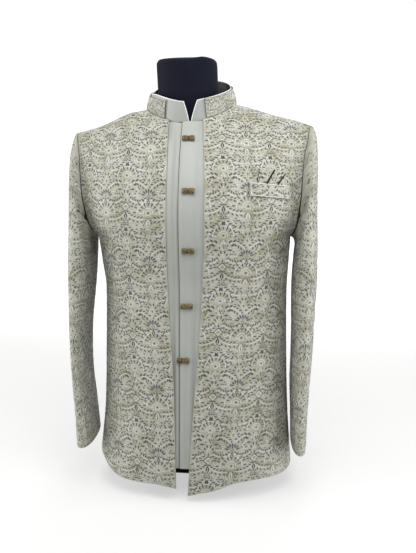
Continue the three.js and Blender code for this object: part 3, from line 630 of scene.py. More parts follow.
class Ground:
    """A piece of cloth as a fine grid of points, found by its pattern coordinates."""

    def __init__(self, points, pattern, axis):
        self.points = points
        self.pattern = pattern
        self.axis = axis
        self.normals = normals_of(points, axis)

    def crease(self, path, width, depth, taper=30 * MM):
        """A soft trough or, with depth below 0, a ridge, along a path of pattern coordinates."""
        path = np.array(path) * MM
        near = np.full(self.pattern.shape[:2], np.inf)
        along = np.zeros_like(near)
        run = 0
        for start, end in zip(path[:-1], path[1:]):
            line = end - start
            length = np.linalg.norm(line)
            share = np.clip(((self.pattern - start) @ line) / length**2, 0, 1)
            away = np.linalg.norm(self.pattern - start - share[..., None] * line, axis=-1)
            closer = away < near
            along = np.where(closer, run + share * length, along)
            near = np.where(closer, away, near)
            run += length
        ends = np.clip(np.minimum(along, run - along) / min(taper, run / 2), 0, 1)
        soft = ends * ends * (3 - 2 * ends)
        push = depth * MM * np.exp(-((near / (width * MM)) ** 2)) * soft
        self.points = self.points - self.normals * push[..., None]

    def fold(self, folds):
        """Creases the cloth along each fold's path by its width and depth."""
        for path, width, depth in folds:
            self.crease(path, width, depth)
        self.normals = normals_of(self.points, self.axis)

    def reach(self):
        """The lowest and the highest of its pattern coordinates."""
        pattern = self.pattern.reshape(-1, 2)
        return pattern.min(axis=0), pattern.max(axis=0)

    def find(self, wanted):
        """Rows and columns of pattern coordinates, and which of them lie on the cloth."""
        rows, columns = self.pattern.shape[:2]
        coarse_j = np.linspace(0, rows - 1, 40).astype(int)
        coarse_i = np.linspace(0, columns - 1, 24).astype(int)
        seeds = self.pattern[np.ix_(coarse_j, coarse_i)].reshape(-1, 2)
        row = np.empty(len(wanted))
        column = np.empty(len(wanted))
        for start in range(0, len(wanted), BLOCK):
            block = slice(start, start + BLOCK)
            nearest = ((wanted[block][:, None] - seeds[None]) ** 2).sum(axis=-1).argmin(axis=1)
            row[block] = coarse_j[nearest // len(coarse_i)]
            column[block] = coarse_i[nearest % len(coarse_i)]
        for _ in range(FIND_STEPS):
            row = np.clip(row, 0, rows - 1.001)
            column = np.clip(column, 0, columns - 1.001)
            j, i = row.astype(int), column.astype(int)
            here = read_grid(self.pattern, row, column)
            by_row = self.pattern[j + 1, i] - self.pattern[j, i]
            by_column = self.pattern[j, i + 1] - self.pattern[j, i]
            size = by_row[:, 0] * by_column[:, 1] - by_row[:, 1] * by_column[:, 0]
            size = np.where(np.abs(size) < 1e-12, 1e-12, size)
            miss = wanted - here
            up = (miss[:, 0] * by_column[:, 1] - miss[:, 1] * by_column[:, 0]) / size
            along = (by_row[:, 0] * miss[:, 1] - by_row[:, 1] * miss[:, 0]) / size
            row = row + np.clip(up, -FIND_REACH, FIND_REACH)
            column = column + np.clip(along, -FIND_REACH, FIND_REACH)
        row = np.clip(row, 0, rows - 1.001)
        column = np.clip(column, 0, columns - 1.001)
        miss = np.abs(read_grid(self.pattern, row, column) - wanted).max(axis=1)
        return row, column, miss < 0.25 * MM

    def lift(self, wanted, heights):
        """Places over the cloth by pattern coordinates and height, and which of them are on it."""
        row, column, on_it = self.find(wanted)
        normal = read_grid(self.normals, row, column)
        normal /= np.linalg.norm(normal, axis=-1, keepdims=True)
        return read_grid(self.points, row, column) + normal * heights[:, None], on_it


def sheet_mesh(name, ground):
    """A mesh grid laid over the ground's points, with its pattern map."""
    rows, columns = ground.points.shape[:2]
    shape = bmesh.new()
    bmesh.ops.create_grid(shape, x_segments=columns - 1, y_segments=rows - 1, size=1)
    mesh = bpy.data.meshes.new(name)
    shape.to_mesh(mesh)
    shape.free()
    flat = np.empty(len(mesh.vertices) * 3)
    mesh.vertices.foreach_get("co", flat)
    flat = flat.reshape(-1, 3)
    if len(flat) != rows * columns:
        raise RuntimeError(f"{name}: the grid has {len(flat)} points, not {rows * columns}")
    i = np.rint((flat[:, 0] + 1) / 2 * (columns - 1)).astype(int)
    j = np.rint((flat[:, 1] + 1) / 2 * (rows - 1)).astype(int)
    mesh.vertices.foreach_set("co", ground.points[j, i].ravel())
    mesh.update()
    lay_map(mesh, ground.pattern[j, i])
    face = mesh.polygons[len(mesh.polygons) // 2]
    k = face.vertices[0]
    if Vector(ground.normals[j[k], i[k]]).dot(face.normal) < 0:
        mesh.flip_normals()
    shade_smooth(mesh)
    return mesh


def lay_map(mesh, by_vertex):
    corners = np.empty(len(mesh.loops), np.int32)
    mesh.loops.foreach_get("vertex_index", corners)
    layer = mesh.uv_layers.new(name="pattern")
    layer.data.foreach_set("uv", by_vertex[corners].astype(np.float32).ravel())


def sheet_piece(node, ground, wall, materials):
    """Cloth of its own thickness on a ground, in place of a CAD node.

    The materials are those of its outside, inside and edge.
    """
    GROUNDS[node] = ground
    name = node + "_cloth"
    piece = made(name, sheet_mesh(name, ground), *materials)
    solid = piece.modifiers.new("Wall", "SOLIDIFY")
    solid.thickness = wall
    solid.offset = -1
    solid.material_offset = 1
    solid.material_offset_rim = 2
    bevel = piece.modifiers.new("Soft edges", "BEVEL")
    bevel.width = 0.5 * MM
    bevel.segments = 2
    bevel.limit_method = "ANGLE"
    bevel.angle_limit = math.radians(60)
    carried(piece, node)


GROUNDS = {}  # by CAD node

# Embroidery: one repeat of the pattern in millimetres, its large fan's centre at 0, 0

THREADS = ("grey", "slate", "ivory", "brown", "olive", "gold")
CHART_WIDTH = 89.2
CHART_HEIGHT = 134
FILL_ROWS = 30
FILL_COLUMNS = 20
CORD_RELIEF = 0.42
LEAST_RELIEF = 0.32  # of a leaf or dot
SUNK = 0.08 * MM  # the foot of a thread lies this far inside the cloth


def raised(sides, half_width):
    """A low raised shape of thread, one unit long and wide: its points and triangles."""
    shape = bmesh.new()
    bmesh.ops.create_circle(shape, cap_ends=True, cap_tris=True, segments=sides, radius=0.5)
    shape.verts.ensure_lookup_table()
    for vertex in shape.verts:
        x, y, _ = vertex.co
        vertex.co = (x * half_width(2 * y), y, 1 if math.hypot(x, y) < 0.1 else 0)
    points = np.array([tuple(vertex.co) for vertex in shape.verts])
    faces = np.array([[vertex.index for vertex in face.verts] for face in shape.faces])
    shape.free()
    return points, faces


def chart_of_motifs():
    """Leaves as (shape, thread, x, y, turn, length, width), and cords as (thread, width, points)."""
    leaves, cords = [], []

    def leaf(thread, x, y, turn=0, length=4.0, width=1.7, shape="leaf"):
        leaves.append((shape, thread, x, y, turn, length, width))

    def fan(thread, x, y, radius, turns, length, width, shape="leaf"):
        for turn in turns:
            a = math.radians(turn)
            leaf(thread, x + radius * math.sin(a), y + radius * math.cos(a), turn, length, width, shape)

    def arc(thread, width, x, y, radius, low, high, steps=12):
        turns = [math.radians(low + (high - low) * k / steps) for k in range(steps + 1)]
        path = [(x + radius * math.sin(a), y + radius * math.cos(a)) for a in turns]
        cords.append((thread, width, path))

    def between(a, b, c, d, u):
        """A smooth curve from b, at u = 0, to c, at u = 1."""
        bend = (2 * a - 5 * b + 4 * c - d) * u * u + (3 * b - a - 3 * c + d) * u**3
        return 0.5 * (2 * b + (c - a) * u + bend)

    def band(points):
        """A cord through the points, with leaves on both sides."""
        smooth = []
        for k in range(len(points) - 1):
            before, after = points[max(k - 1, 0)], points[min(k + 2, len(points) - 1)]
            both = list(zip(before, points[k], points[k + 1], after))
            for step in range(6):
                smooth.append(tuple(between(*four, step / 6) for four in both))
        smooth.append(points[-1])
        for k, (x, y) in enumerate(smooth[:-1]):
            dx, dy = smooth[k + 1][0] - x, smooth[k + 1][1] - y
            length = math.hypot(dx, dy)
            turn = math.degrees(math.atan2(dx, dy))
            if k % 3 == 0:
                for side in (-1, 1):
                    nx, ny = side * dy / length, -side * dx / length
                    leaf("grey", x + 4.4 * nx, y + 4.4 * ny, turn + side * 42, 7.2, 3)
        cords.append(("ivory", 0.9, smooth))

    def ring(thread, width, outline):
        cords.append((thread, width, outline + outline[:1]))

    b = CHART_WIDTH / 2
    leaf("slate", 0, 0, 0, 4.6, 4.6, "dot")
    arc("ivory", 0.9, 0, 0, 4.8, -180, 180, 14)
    arc("ivory", 0.9, 0, 0, 9.2, -100, 100)
    fan("grey", 0, 0, 16, (0, 24, -24, 48, -48, 72, -72), 9.2, 4, "drop")
    arc("ivory", 1, 0, 0, 21.4, -96, 96, 20)
    fan("slate", 0, 0, 26.6, (0, 22, -22, 44, -44, 66, -66, 88, -88), 8.4, 3.5)
    fan("ivory", 0, 0, 26.6, (11, -11, 33, -33, 55, -55, 77, -77), 6.6, 1.2)
    arc("gold", 0.9, 0, 26, 34, 145, 215)
    arc("brown", 0.8, 0, 27, 38, 150, 210)
    turns = [math.radians(30 * k) for k in range(12)]
    drop = [(2.4 * math.sin(a) * (1 + 0.25 * math.cos(a)), -21 + 6.6 * math.cos(a)) for a in turns]
    ring("ivory", 1.1, drop)
    leaf("grey", 0, -25, 0, 7, 3.4, "drop")
    for side in (-1, 1):
        fan("slate", 10.4 * side, -35, 3.8, (45, 135, 225, 315), 6.6, 4.3, "drop")
        leaf("gold", 10.4 * side, -35, 0, 2.2, 2.2, "dot")
        for x, y in ((3.5, -54), (7.2, -60), (9.4, -67)):
            leaf("grey", side * x, y, side * math.degrees(math.atan2(x, y + 74)), 7.2, 3)
        leaf("ivory", 20 * side, -53, -30 * side, 6, 1.4)
        leaf("slate", 22 * side, -59, -55 * side, 8, 3.4)
        band([(side * x, y) for x, y in ((b - 1, 0), (34, -8), (20, -13), (7, -13))])
        band([(side * x, y) for x, y in ((b - 1, -27), (34, -37), (24, -44), (8, -47))])
        band([(side * x, y) for x, y in ((b - 14, -74), (24, -71), (14, -76), (4, -84))])
        band([(side * x, y) for x, y in ((4, -109), (16, -114), (28, -112), (37, -106))])
        leaf("slate", b - side * 13, -86.5, 90, 10.5, 4.6)
        for x, y in ((3.5, -91), (7.4, -96), (9.6, -103)):
            leaf("grey", b + side * x, y, side * math.degrees(math.atan2(x, y + 110)), 8, 3.2)
        leaf("grey", b + side * 20, -69, side * 62, 8, 3.3)
    leaf("olive", 0, -40, 0, 3.4, 3.4, "dot")
    fan("slate", 0, -101, 11.4, (0, 24, -24, 48, -48, 72, -72), 10.2, 4.2)
    fan("brown", 0, -101, 2.6, (0, 72, 144, 216, 288), 2.6, 2, "dot")
    leaf("gold", 0, -101, 0, 1.8, 1.8, "dot")
    for reach, thread, width in ((9.2, "grey", 2.1), (5.8, "ivory", 1.1)):
        ring(thread, width, [(b, 13 + reach), (b + reach, 13), (b, 13 - reach), (b - reach, 13)])
    leaf("gold", b, 13, 0, 4.6, 4.6, "dot")
    fan("grey", b, 13, 13.2, (0, 90, 180, 270), 6.6, 3.2)
    fan("slate", b, -17, 4.6, (0, 60, 120, 180, 240, 300), 6.8, 3.8, "drop")
    leaf("gold", b, -17, 0, 2.6, 2.6, "dot")
    fan("ivory", b, -17, 9.6, (30, 90, 150, 210, 270, 330), 4.6, 1.2)
    leaf("slate", b, -57, 0, 4, 4, "dot")
    arc("ivory", 0.9, b, -57, 4.4, -180, 180, 14)
    arc("ivory", 0.9, b, -57, 8.2, -100, 100)
    fan("grey", b, -57, 14.4, (0, 26, -26, 52, -52, 78, -78), 8.4, 3.7, "drop")
    arc("ivory", 1, b, -57, 19.2, -98, 98, 18)
    fan("slate", b, -57, 24, (0, 25, -25, 50, -50, 75, -75), 7.6, 3.2)
    arc("gold", 0.9, b, -31, 34, 148, 212)
    arc("brown", 0.8, b, -52.4, 36, 158, 202)
    return leaves, cords


# The filling's threads, each up to its limit between 0 and 1
FILL_SHARES = (("ivory", 0.58), ("grey", 0.78), ("slate", 0.89), ("brown", 1))


def chart_fill(leaves, cords):
    """Small leaves and dots between the motifs, in rows that turn with the nearest fan."""
    random = np.random.default_rng(11)
    where = np.array([(x, y) for _, _, x, y, _, _, _ in leaves])
    reach = np.array([0.22 * length + 0.3 * width + 1.0 for *_, length, width in leaves])
    lines = np.array([(*p, width) for _, width, points in cords for p in points])
    b = CHART_WIDTH / 2
    hubs = np.array([(0, 0), (0, -101), (b, -57), (b, 13), (b, -17)])

    def wrapped(gap):
        gap[..., 0] -= CHART_WIDTH * np.round(gap[..., 0] / CHART_WIDTH)
        gap[..., 1] -= CHART_HEIGHT * np.round(gap[..., 1] / CHART_HEIGHT)
        return gap

    fill = []
    for row in range(FILL_ROWS):
        for column in range(FILL_COLUMNS):
            x = (column + 0.5 * (row % 2)) * CHART_WIDTH / FILL_COLUMNS - CHART_WIDTH / 2
            y = row * CHART_HEIGHT / FILL_ROWS - CHART_HEIGHT + 30
            x += random.uniform(-0.5, 0.5)
            y += random.uniform(-0.5, 0.5)
            here = np.array([x, y])
            if (np.linalg.norm(wrapped(where - here), axis=1) < reach + 0.9).any():
                continue
            from_lines = np.linalg.norm(wrapped(lines[:, :2] - here), axis=1)
            if (from_lines < lines[:, 2] * 0.5 + 1.2).any():
                continue
            gaps = wrapped(here - hubs)
            gap = gaps[np.linalg.norm(gaps, axis=1).argmin()]
            turn = math.degrees(math.atan2(gap[0], gap[1])) + random.uniform(-18, 18)
            pick = random.uniform()
            thread = next(name for name, limit in FILL_SHARES if pick < limit)
            shape = "dot" if thread == "brown" else "leaf"
            length = 1.8 if shape == "dot" else random.uniform(4.6, 6)
            width = {"ivory": 1.1, "brown": 1.8}.get(thread, 2.4)
            fill.append((shape, thread, x, y, turn, length, width))
    return fill


class ThreadWork:
    """Threads over one ground, laid out by pattern coordinates and then lifted onto it."""

    def __init__(self, ground, squeeze):
        self.ground = ground
        self.squeeze = squeeze
        self.shapes = {
            "leaf": raised(10, lambda y: math.sqrt(max(1 - y * y, 0)) * 0.55 + 0.45),
            "drop": raised(10, lambda y: 0.62 + 0.38 * y),
            "dot": raised(7, lambda y: 1),
        }
        self.parts = []

    def lay(self, leaves, cords, origins, scale, relief):
        """Puts a chart's leaves and cords at each of the origins."""
        for kind, (points, faces) in self.shapes.items():
            rows = [leaf for leaf in leaves if leaf[0] == kind]
            if not rows:
                continue
            x, y, turn, length, width = np.array([leaf[2:] for leaf in rows]).T * scale
            turn = np.radians(turn / scale)
            across = points[:, 0][None] * width[:, None]
            along = points[:, 1][None] * length[:, None]
            c, s = np.cos(turn)[:, None], np.sin(turn)[:, None]
            turned = [x[:, None] + across * c + along * s, y[:, None] - across * s + along * c]
            high = points[:, 2][None] * np.clip(width[:, None] * 0.26, LEAST_RELIEF, relief)
            threads = np.array([THREADS.index(leaf[1]) for leaf in rows])
            local = np.stack([across, along], axis=-1)
            self.repeat(np.stack(turned, axis=-1), high, local, faces, threads, origins)
        segments, threads = [], []
        for thread, width, path in cords:
            path = np.array(path) * scale
            lines = np.diff(path, axis=0)
            side = np.stack([lines[:, 1], -lines[:, 0]], axis=-1)
            side /= np.linalg.norm(side, axis=1, keepdims=True)
            ends = np.concatenate([side[:1], side, side[-1:]])
            turned = ends[1:] + ends[:-1]
            turned /= np.maximum(np.linalg.norm(turned, axis=1, keepdims=True), 0.4)
            half = turned * width * scale * 0.5
            for k in range(len(lines)):
                a, b = path[k], path[k + 1]
                segments.append([a - half[k], a, a + half[k], b - half[k + 1], b, b + half[k + 1]])
                threads.append(THREADS.index(thread))
        if segments:
            flat = np.array(segments)
            high = np.tile(np.array([0, 1, 0, 0, 1, 0]) * CORD_RELIEF, (len(flat), 1))
            faces = np.array([[0, 1, 4], [0, 4, 3], [1, 2, 5], [1, 5, 4]])
            self.repeat(flat, high, flat, faces, np.array(threads), origins)

    def repeat(self, flat, high, local, faces, threads, origins):
        """Lays elements at the origins; flat, high and local are by element and point."""
        for origin in origins:
            moved = flat * (1, self.squeeze) + np.array(origin)
            self.parts.append((moved * MM, high * MM, local * MM, faces, threads))

    def mesh(self, name):
        """One mesh of every element that lies wholly on the cloth."""
        points, faces, threads, local = [], [], [], []
        count = 0
        low, top = self.ground.reach()
        for flat, high, own, tris, colour in self.parts:
            size = flat.shape[1]
            near = ((flat > low) & (flat < top)).all(axis=(1, 2))
            if not near.any():
                continue
            flat, high, own, colour = flat[near], high[near], own[near], colour[near]
            placed, on_it = self.ground.lift(flat.reshape(-1, 2), (high - SUNK).reshape(-1))
            whole = on_it.reshape(-1, size).all(axis=1)
            kept = placed.reshape(-1, size, 3)[whole]
            shift = (count + size * np.arange(len(kept)))[:, None, None]
            points.append(kept.reshape(-1, 3))
            local.append(own[whole].reshape(-1, 2))
            faces.append((tris[None] + shift).reshape(-1, 3))
            threads.append(np.repeat(colour[whole], len(tris)))
            count += size * len(kept)
        points, faces = np.concatenate(points), np.concatenate(faces)
        mesh = bpy.data.meshes.new(name)
        mesh.vertices.add(len(points))
        mesh.vertices.foreach_set("co", points.ravel())
        mesh.loops.add(faces.size)
        mesh.loops.foreach_set("vertex_index", faces.ravel().astype(np.int32))
        mesh.polygons.add(len(faces))
        mesh.polygons.foreach_set("loop_start", np.arange(0, faces.size, 3, dtype=np.int32))
        mesh.update(calc_edges=True)
        mesh.polygons.foreach_set("material_index", np.concatenate(threads).astype(np.int32))
        shade_smooth(mesh)
        lay_map(mesh, np.concatenate(local))
        first = points[faces]
        normal = np.cross(first[:, 1] - first[:, 0], first[:, 2] - first[:, 0])
        away = first.mean(axis=1)[:, :2] - np.array(self.ground.axis)
        if (normal[:, :2] * away).sum() < 0:
            mesh.flip_normals()
        mesh.update()
        return mesh


def known(name, finish, *values):
    """The material of this name, made on its first use."""
    return bpy.data.materials.get(name) or finish(name, *values)


def thread_materials():
    settings = bpy.context.scene.jacket_embroidery
    return [
        known(f"{thread}_thread", thread_finish, tuple(getattr(settings, thread)))
        for thread in THREADS
    ]


def cloth_materials():
    """Outside, inside and edge of a piece of embroidered cloth."""
    settings = bpy.context.scene.jacket_cloth
    ground, shade = tuple(settings.ground), tuple(settings.ground_shade)
    return (
        known("embroidered_ground", cloth_finish, ground, shade, 0.74, 0.2),
        known("lining", lining_finish, tuple(settings.lining)),
        known("turned_edge", edge_finish, tuple(settings.edge)),
    )


def painted_shade_material():
    """Painted shade: the near-black material of the cords that stand for the shadow in a sunken seam or
    slit.
    """
    return known("fold_hollow", edge_finish, tuple(bpy.context.scene.jacket_cloth.hollow))


def embroider(node, start, scale=1.0):
    """Covers a piece of cloth with the pattern.

    start is where one large fan's centre falls, in millimetres.
    """
    settings = bpy.context.scene.jacket_embroidery
    ground = GROUNDS[node]
    size = settings.repeat_width / MM * scale, settings.repeat_height / MM * scale
    low, top = ground.reach()
    spans = []
    for k in (0, 1):
        first = math.floor((low[k] / MM - start[k]) / size[k]) - 1
        last = math.ceil((top[k] / MM - start[k]) / size[k]) + 1
        spans.append([start[k] + size[k] * n for n in range(first, last + 1)])
    origins = [(x, y) for x in spans[0] for y in spans[1]]
    leaves, cords = CHART
    work = ThreadWork(ground, size[1] / (CHART_HEIGHT * scale))
    work.lay(leaves, cords, origins, scale, settings.relief / MM)
    name = node + "_threads"
    piece = made(name, work.mesh(name), *thread_materials())
    carried(piece)


def full_chart():
    leaves, cords = chart_of_motifs()
    return leaves + chart_fill(leaves, cords), cords


CHART = full_chart()


class Piece(bpy.types.Operator):
    """Common to the operators that make the jacket's pieces"""

    bl_options = {"REGISTER", "UNDO"}

    def execute(self, context):
        self.make(context.scene)
        return {"FINISHED"}


# Where a large fan falls on each front and back in pattern millimetres, and its side
BODY = {
    "front_right": {"start": (33, 306), "side": -1},
    "front_left": {"start": (79, 318), "side": 1},
    "back_right": {"start": (22.3, 312), "side": -1},
    "back_left": {"start": (22.3, 312), "side": 1},
}

# Painted shadow in each armhole seam, drawn as a dark cord, by panel in millimetres: top, bottom, radius
ARMHOLES = {"front_left": (640, 500, 2.6), "front_right": (640, 505, 2.4)}

# Folds by piece in millimetres, as (path in pattern coordinates, width, depth)
BODY_FOLDS = {
    "front_right": [
        ([(150, 470), (128, 400), (120, 300)], 13, 1.6),
        ([(176, 440), (160, 330)], 10, 1.4),
    ],
    "front_left": [
        ([(160, 500), (146, 410), (138, 300)], 13, 1.6),
        ([(36, 150), (44, 24)], 9, -1.6),
    ],
    "back_right": [([(120, 500), (104, 380), (100, 260)], 14, 1.6)],
    "back_left": [([(120, 500), (104, 380), (100, 260)], 14, 1.6)],
}
SLEEVE_FOLDS = {
    "top": [
        ([(-126, 700), (-122, 640), (-116, 560), (-108, 530)], 8, 6),
        ([(-50, 560), (-20, 540), (20, 552)], 10, 1.5),
        ([(-60, 380), (-30, 366), (10, 372)], 9, 1.6),
        ([(-58, 330), (-20, 322), (24, 334)], 10, 1.4),
        ([(40, 420), (70, 400), (90, 404)], 10, 1.5),
    ],
    "under": [],
}
SLEEVE_AXIS = (0.2215, -0.012)  # the left sleeve hangs round this upright line
SLEEVE_STARTS = {"top": (0, 263), "under": (44.6, 263)}


def embroidered_piece(node, ground, wall=None):
    """A sheet of the embroidered cloth, as thick as the settings say or as its own wall."""
    wall = wall or bpy.context.scene.jacket_cloth.wall
    sheet_piece(node, ground, wall, cloth_materials())


class JACKET_OT_body(Piece):
    """Makes the embroidered fronts and backs"""

    bl_idname = "jacket.body"
    bl_label = "Fronts and backs"

    def make(self, scene):
        for node, facts in BODY.items():
            rows = outer_rows(node, GRIDS["body"], (0, 0), lambda p: np.abs(p[..., 0]))
            rows = fine_rows(rows, scene.jacket_cloth.step)
            ground = Ground(rows, body_map(rows, facts["side"]), (0, 0))
            ground.fold(BODY_FOLDS[node])
            embroidered_piece(node, ground)
            if node in ARMHOLES:
                self.armhole(node, ground, *ARMHOLES[node])

    def armhole(self, node, ground, top, bottom, radius):
        """The painted shadow in the seam at the front of an armhole: a dark cord, wider towards the
        armpit.
        """
        line = ground.points[:, -1]
        line = line[(line[:, 2] > bottom * MM) & (line[:, 2] < top * MM)]
        fall = np.clip((top * MM - line[:, 2]) / ((top - bottom) * MM), 0, 1)
        swell = (0.15 + 0.85 * fall) * np.clip((1 - fall) / 0.08, 0.1, 1)
        name = node + "_armhole_seam"
        cord(name, line, radius * MM, painted_shade_material(), swell)


class JACKET_OT_sleeves(Piece):
    """Makes the sleeves, each of a top and an under piece"""

    bl_idname = "jacket.sleeves"
    bl_label = "Sleeves"

    def make(self, scene):
        for side_name, side in SIDES.items():
            axis = (side * SLEEVE_AXIS[0], SLEEVE_AXIS[1])
            for part, folds in SLEEVE_FOLDS.items():
                node = f"sleeve_{side_name}_{part}"
                rows = outer_rows(node, GRIDS[part], axis, lambda p: p[..., 1])
                rows = fine_rows(rows, scene.jacket_cloth.step)
                ground = Ground(rows, sleeve_map(rows), axis)
                ground.fold(folds)
                embroidered_piece(node, ground)


class JACKET_OT_collar(Piece):
    """Makes the embroidered stand collar"""

    bl_idname = "jacket.collar"
    bl_label = "Stand collar"

    def make(self, scene):
        rows = outer_rows("collar", GRIDS["collar"], (0, 0), lambda p: -p[..., 0])
        rows = fine_rows(rows, 3 * MM)
        embroidered_piece("collar", Ground(rows, plain_map(rows), (0, 0)))


class JACKET_OT_embroidery(Piece):
    """Makes the raised threads over the fronts, backs, sleeves and collar"""

    bl_idname = "jacket.embroidery"
    bl_label = "Embroidery"

    def make(self, scene):
        for node, facts in BODY.items():
            embroider(node, facts["start"])
        for side_name in SIDES:
            for part, start in SLEEVE_STARTS.items():
                embroider(f"sleeve_{side_name}_{part}", start)
        embroider("collar", (20, 16), 0.6)


IVORY_FOLDS = {
    "inner_front_left": [
        ([(-6, 60), (-5, 400), (-6, 720)], 2.4, -0.5),
        ([(19, 60), (17, 300), (20, 500), (18, 700)], 5, 1.8),
        ([(1, 60), (3, 300), (1, 560)], 4, 0.7),
    ],
    "inner_front_right": [
        ([(-25, 60), (-22, 400), (-24, 700)], 3.6, 2),
        ([(-16, 60), (-16, 400), (-16, 700)], 3, -1.1),
        ([(-34, 300), (-32, 500), (-34, 700)], 3, -1.1),
    ],
}


COLLAR_DROP = 3.8 * MM  # how far the inner collar's lower edge reaches down to the inner front
NOTCH_FOOT = 2.2 * MM  # half the width of the notch between the inner collar's ends, at its foot
NOTCH_FADE = 9  # columns over which a straightened end of the inner collar fades out
PIPING = 0.9 * MM  # radius


class JACKET_OT_ivory(Piece):
    """Makes the ivory inner front and inner collar with its piping"""

    bl_idname = "jacket.ivory"
    bl_label = "Ivory inner front"

    def make(self, scene):
        settings = scene.jacket_ivory
        satin = known("ivory_satin_cloth", ivory_finish, tuple(settings.satin))
        for node, folds in IVORY_FOLDS.items():
            rows = outer_rows(node, GRIDS[node], (0, 0), lambda p: p[..., 0])
            rows = fine_rows(rows, settings.step)
            ground = Ground(rows, rows[..., [0, 2]], (0, 0))
            ground.fold(folds)
            sheet_piece(node, ground, settings.wall, (satin,) * 3)
            if node == "inner_front_left":
                # Painted shade: a dark cord along the left inner front's overlapping edge stands for its
                # seam and for the shade it casts on the cloth beneath
                edge = ground.points[:, 0] - ground.normals[:, 0] * 0.3 * MM
                cord("overlap_seam", edge, 0.6 * MM, cloth_materials()[2])
        rows = self.collar_rows(settings.step)
        ground = Ground(rows, plain_map(rows), (0, 0))
        # Painted shade: the inner collar's inside is a dark grey cloth that stands for the shade inside
        # the collar
        inside = cloth_finish("collar_lining", linear(92, 90, 88), linear(40, 40, 48), 0.7, 0.1)
        materials = satin, inside, satin
        sheet_piece("collar_inner", ground, settings.wall, materials)
        middle = ground.points - ground.normals * (settings.wall / 2)
        edge = np.concatenate([middle[:-1, 0], middle[-1], middle[-2::-1, -1]])
        white = thread_finish("piping", tuple(settings.piping))
        cord("collar_piping", edge, PIPING, white)

    def collar_rows(self, step):
        """The inner collar's outside, its ends cut straight at the notch and its edges as they stand."""
        rows = outer_rows("collar_inner", GRIDS["collar_inner"], (0, 0), lambda p: -p[..., 0])
        rows = fine_rows(rows, step)
        share = np.linspace(0, 1, len(rows))[:, None]
        columns = np.arange(rows.shape[1])
        for end, outward, away in ((0, 1, columns), (-1, -1, columns[::-1])):
            x, z = rows[:, end, 0], rows[:, end, 2]
            straight = np.interp(z, z[[0, -1]], x[[0, -1]])
            shift = (straight - x)[:, None] + outward * NOTCH_FOOT * (1 - share)
            rows[..., 0] += shift * np.clip(1 - away / NOTCH_FADE, 0, 1)
        front = np.clip(-rows[..., 1] / 0.045, 0, 1)
        tall = np.clip((rows[-1, :, 2] - rows[0, :, 2]) / 0.03, 0, 1) ** 2
        notch = np.clip((0.075 - np.abs(rows[..., 0])) / 0.06, 0, 1)
        right = np.clip((-rows[..., 0] - 0.012) / 0.06, 0, 1)
        rows[..., 2] += 9 * MM * share**2 * right * front
        rows[..., 2] -= 4 * MM * share**2 * notch * tall * front
        lowest = (1 - share) ** 3 * np.clip((0.05 - np.abs(rows[..., 0])) / 0.02, 0, 1) * front
        rows[..., 2] -= COLLAR_DROP * lowest
        rows[..., 1] -= 0.6 * MM * lowest
        return rows


KNOTS = 5
KNOT_CORD = 1.15 * MM  # radius
KNOT_TURNS = 6  # of the cord in each lobe
KNOT_LEAN = math.radians(16)  # of the outer lobes
KNOT_FLAT = 0.6  # depth as a share of height


class JACKET_OT_knots(Piece):
    """Makes the knot buttons, each a cord wound in three lobes, the middle one small"""

    bl_idname = "jacket.knots"
    bl_label = "Knot buttons"

    def make(self, scene):
        settings = scene.jacket_knots
        material = knot_finish("antique_gold_cord", tuple(settings.bright), tuple(settings.dark))
        half = settings.length / 2
        for k in range(KNOTS):
            node = f"button_{k + 1}"
            shape = bmesh.new()
            for side in (-1, 0, 1):
                for turn in range(KNOT_TURNS):
                    share = (turn - (KNOT_TURNS - 1) / 2) / (KNOT_TURNS / 2)
                    ring = bmesh.ops.create_circle(shape, segments=7, radius=KNOT_CORD)["verts"]
                    reach = (settings.radius - KNOT_CORD) * (1 - share**4) ** 0.25 * (1 if side else 0.62)
                    bmesh.ops.translate(shape, verts=ring, vec=(reach, 0, 0))
                    edges = list(dict.fromkeys(edge for vertex in ring for edge in vertex.link_edges))
                    bmesh.ops.spin(
                        shape, geom=ring + edges, cent=(0, 0, 0), axis=(0, 1, 0), dvec=(0, 0, 0),
                        angle=math.tau, steps=22, use_merge=True, use_duplicate=False,
                    )
                    fresh = [vertex for vertex in shape.verts if not vertex.tag]
                    lean = Matrix.Rotation(KNOT_LEAN * side, 3, "X")
                    turned = lean @ Matrix.Rotation(math.pi / 2, 3, "Z")
                    bmesh.ops.transform(shape, verts=fresh, matrix=turned.to_4x4())
                    middle = side * half * 0.52 + share * half * 0.46
                    bmesh.ops.translate(shape, verts=fresh, vec=(middle, 0, 0))
                    for vertex in fresh:
                        vertex.tag = True
            bmesh.ops.scale(shape, vec=(1, KNOT_FLAT, 1), verts=shape.verts)
            bmesh.ops.remove_doubles(shape, verts=shape.verts, dist=1e-6)
            bmesh.ops.recalc_face_normals(shape, faces=shape.faces)
            low, high = (Vector(corner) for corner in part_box(node))
            middle = (low + high) / 2
            normal = nearest_normal(GROUNDS["inner_front_left"], middle)
            lean = math.atan2(-normal[2], -normal[1])
            place = Matrix.Translation(middle) @ Matrix.Rotation(lean, 4, "X")
            bmesh.ops.transform(shape, verts=shape.verts, matrix=place)
            carried(from_bmesh(f"knot_{k + 1}", shape, material), node)


def nearest_normal(ground, place):
    gap = np.linalg.norm(ground.points - np.array(place), axis=-1)
    return ground.normals[np.unravel_index(gap.argmin(), gap.shape)]


# The welt on the left front in millimetres: x of its ends, height, and its top edge's height and fall
WELT_START, WELT_END = 116, 187
WELT_TALL = 22
WELT_TOP, WELT_FALL = 602.5, 6

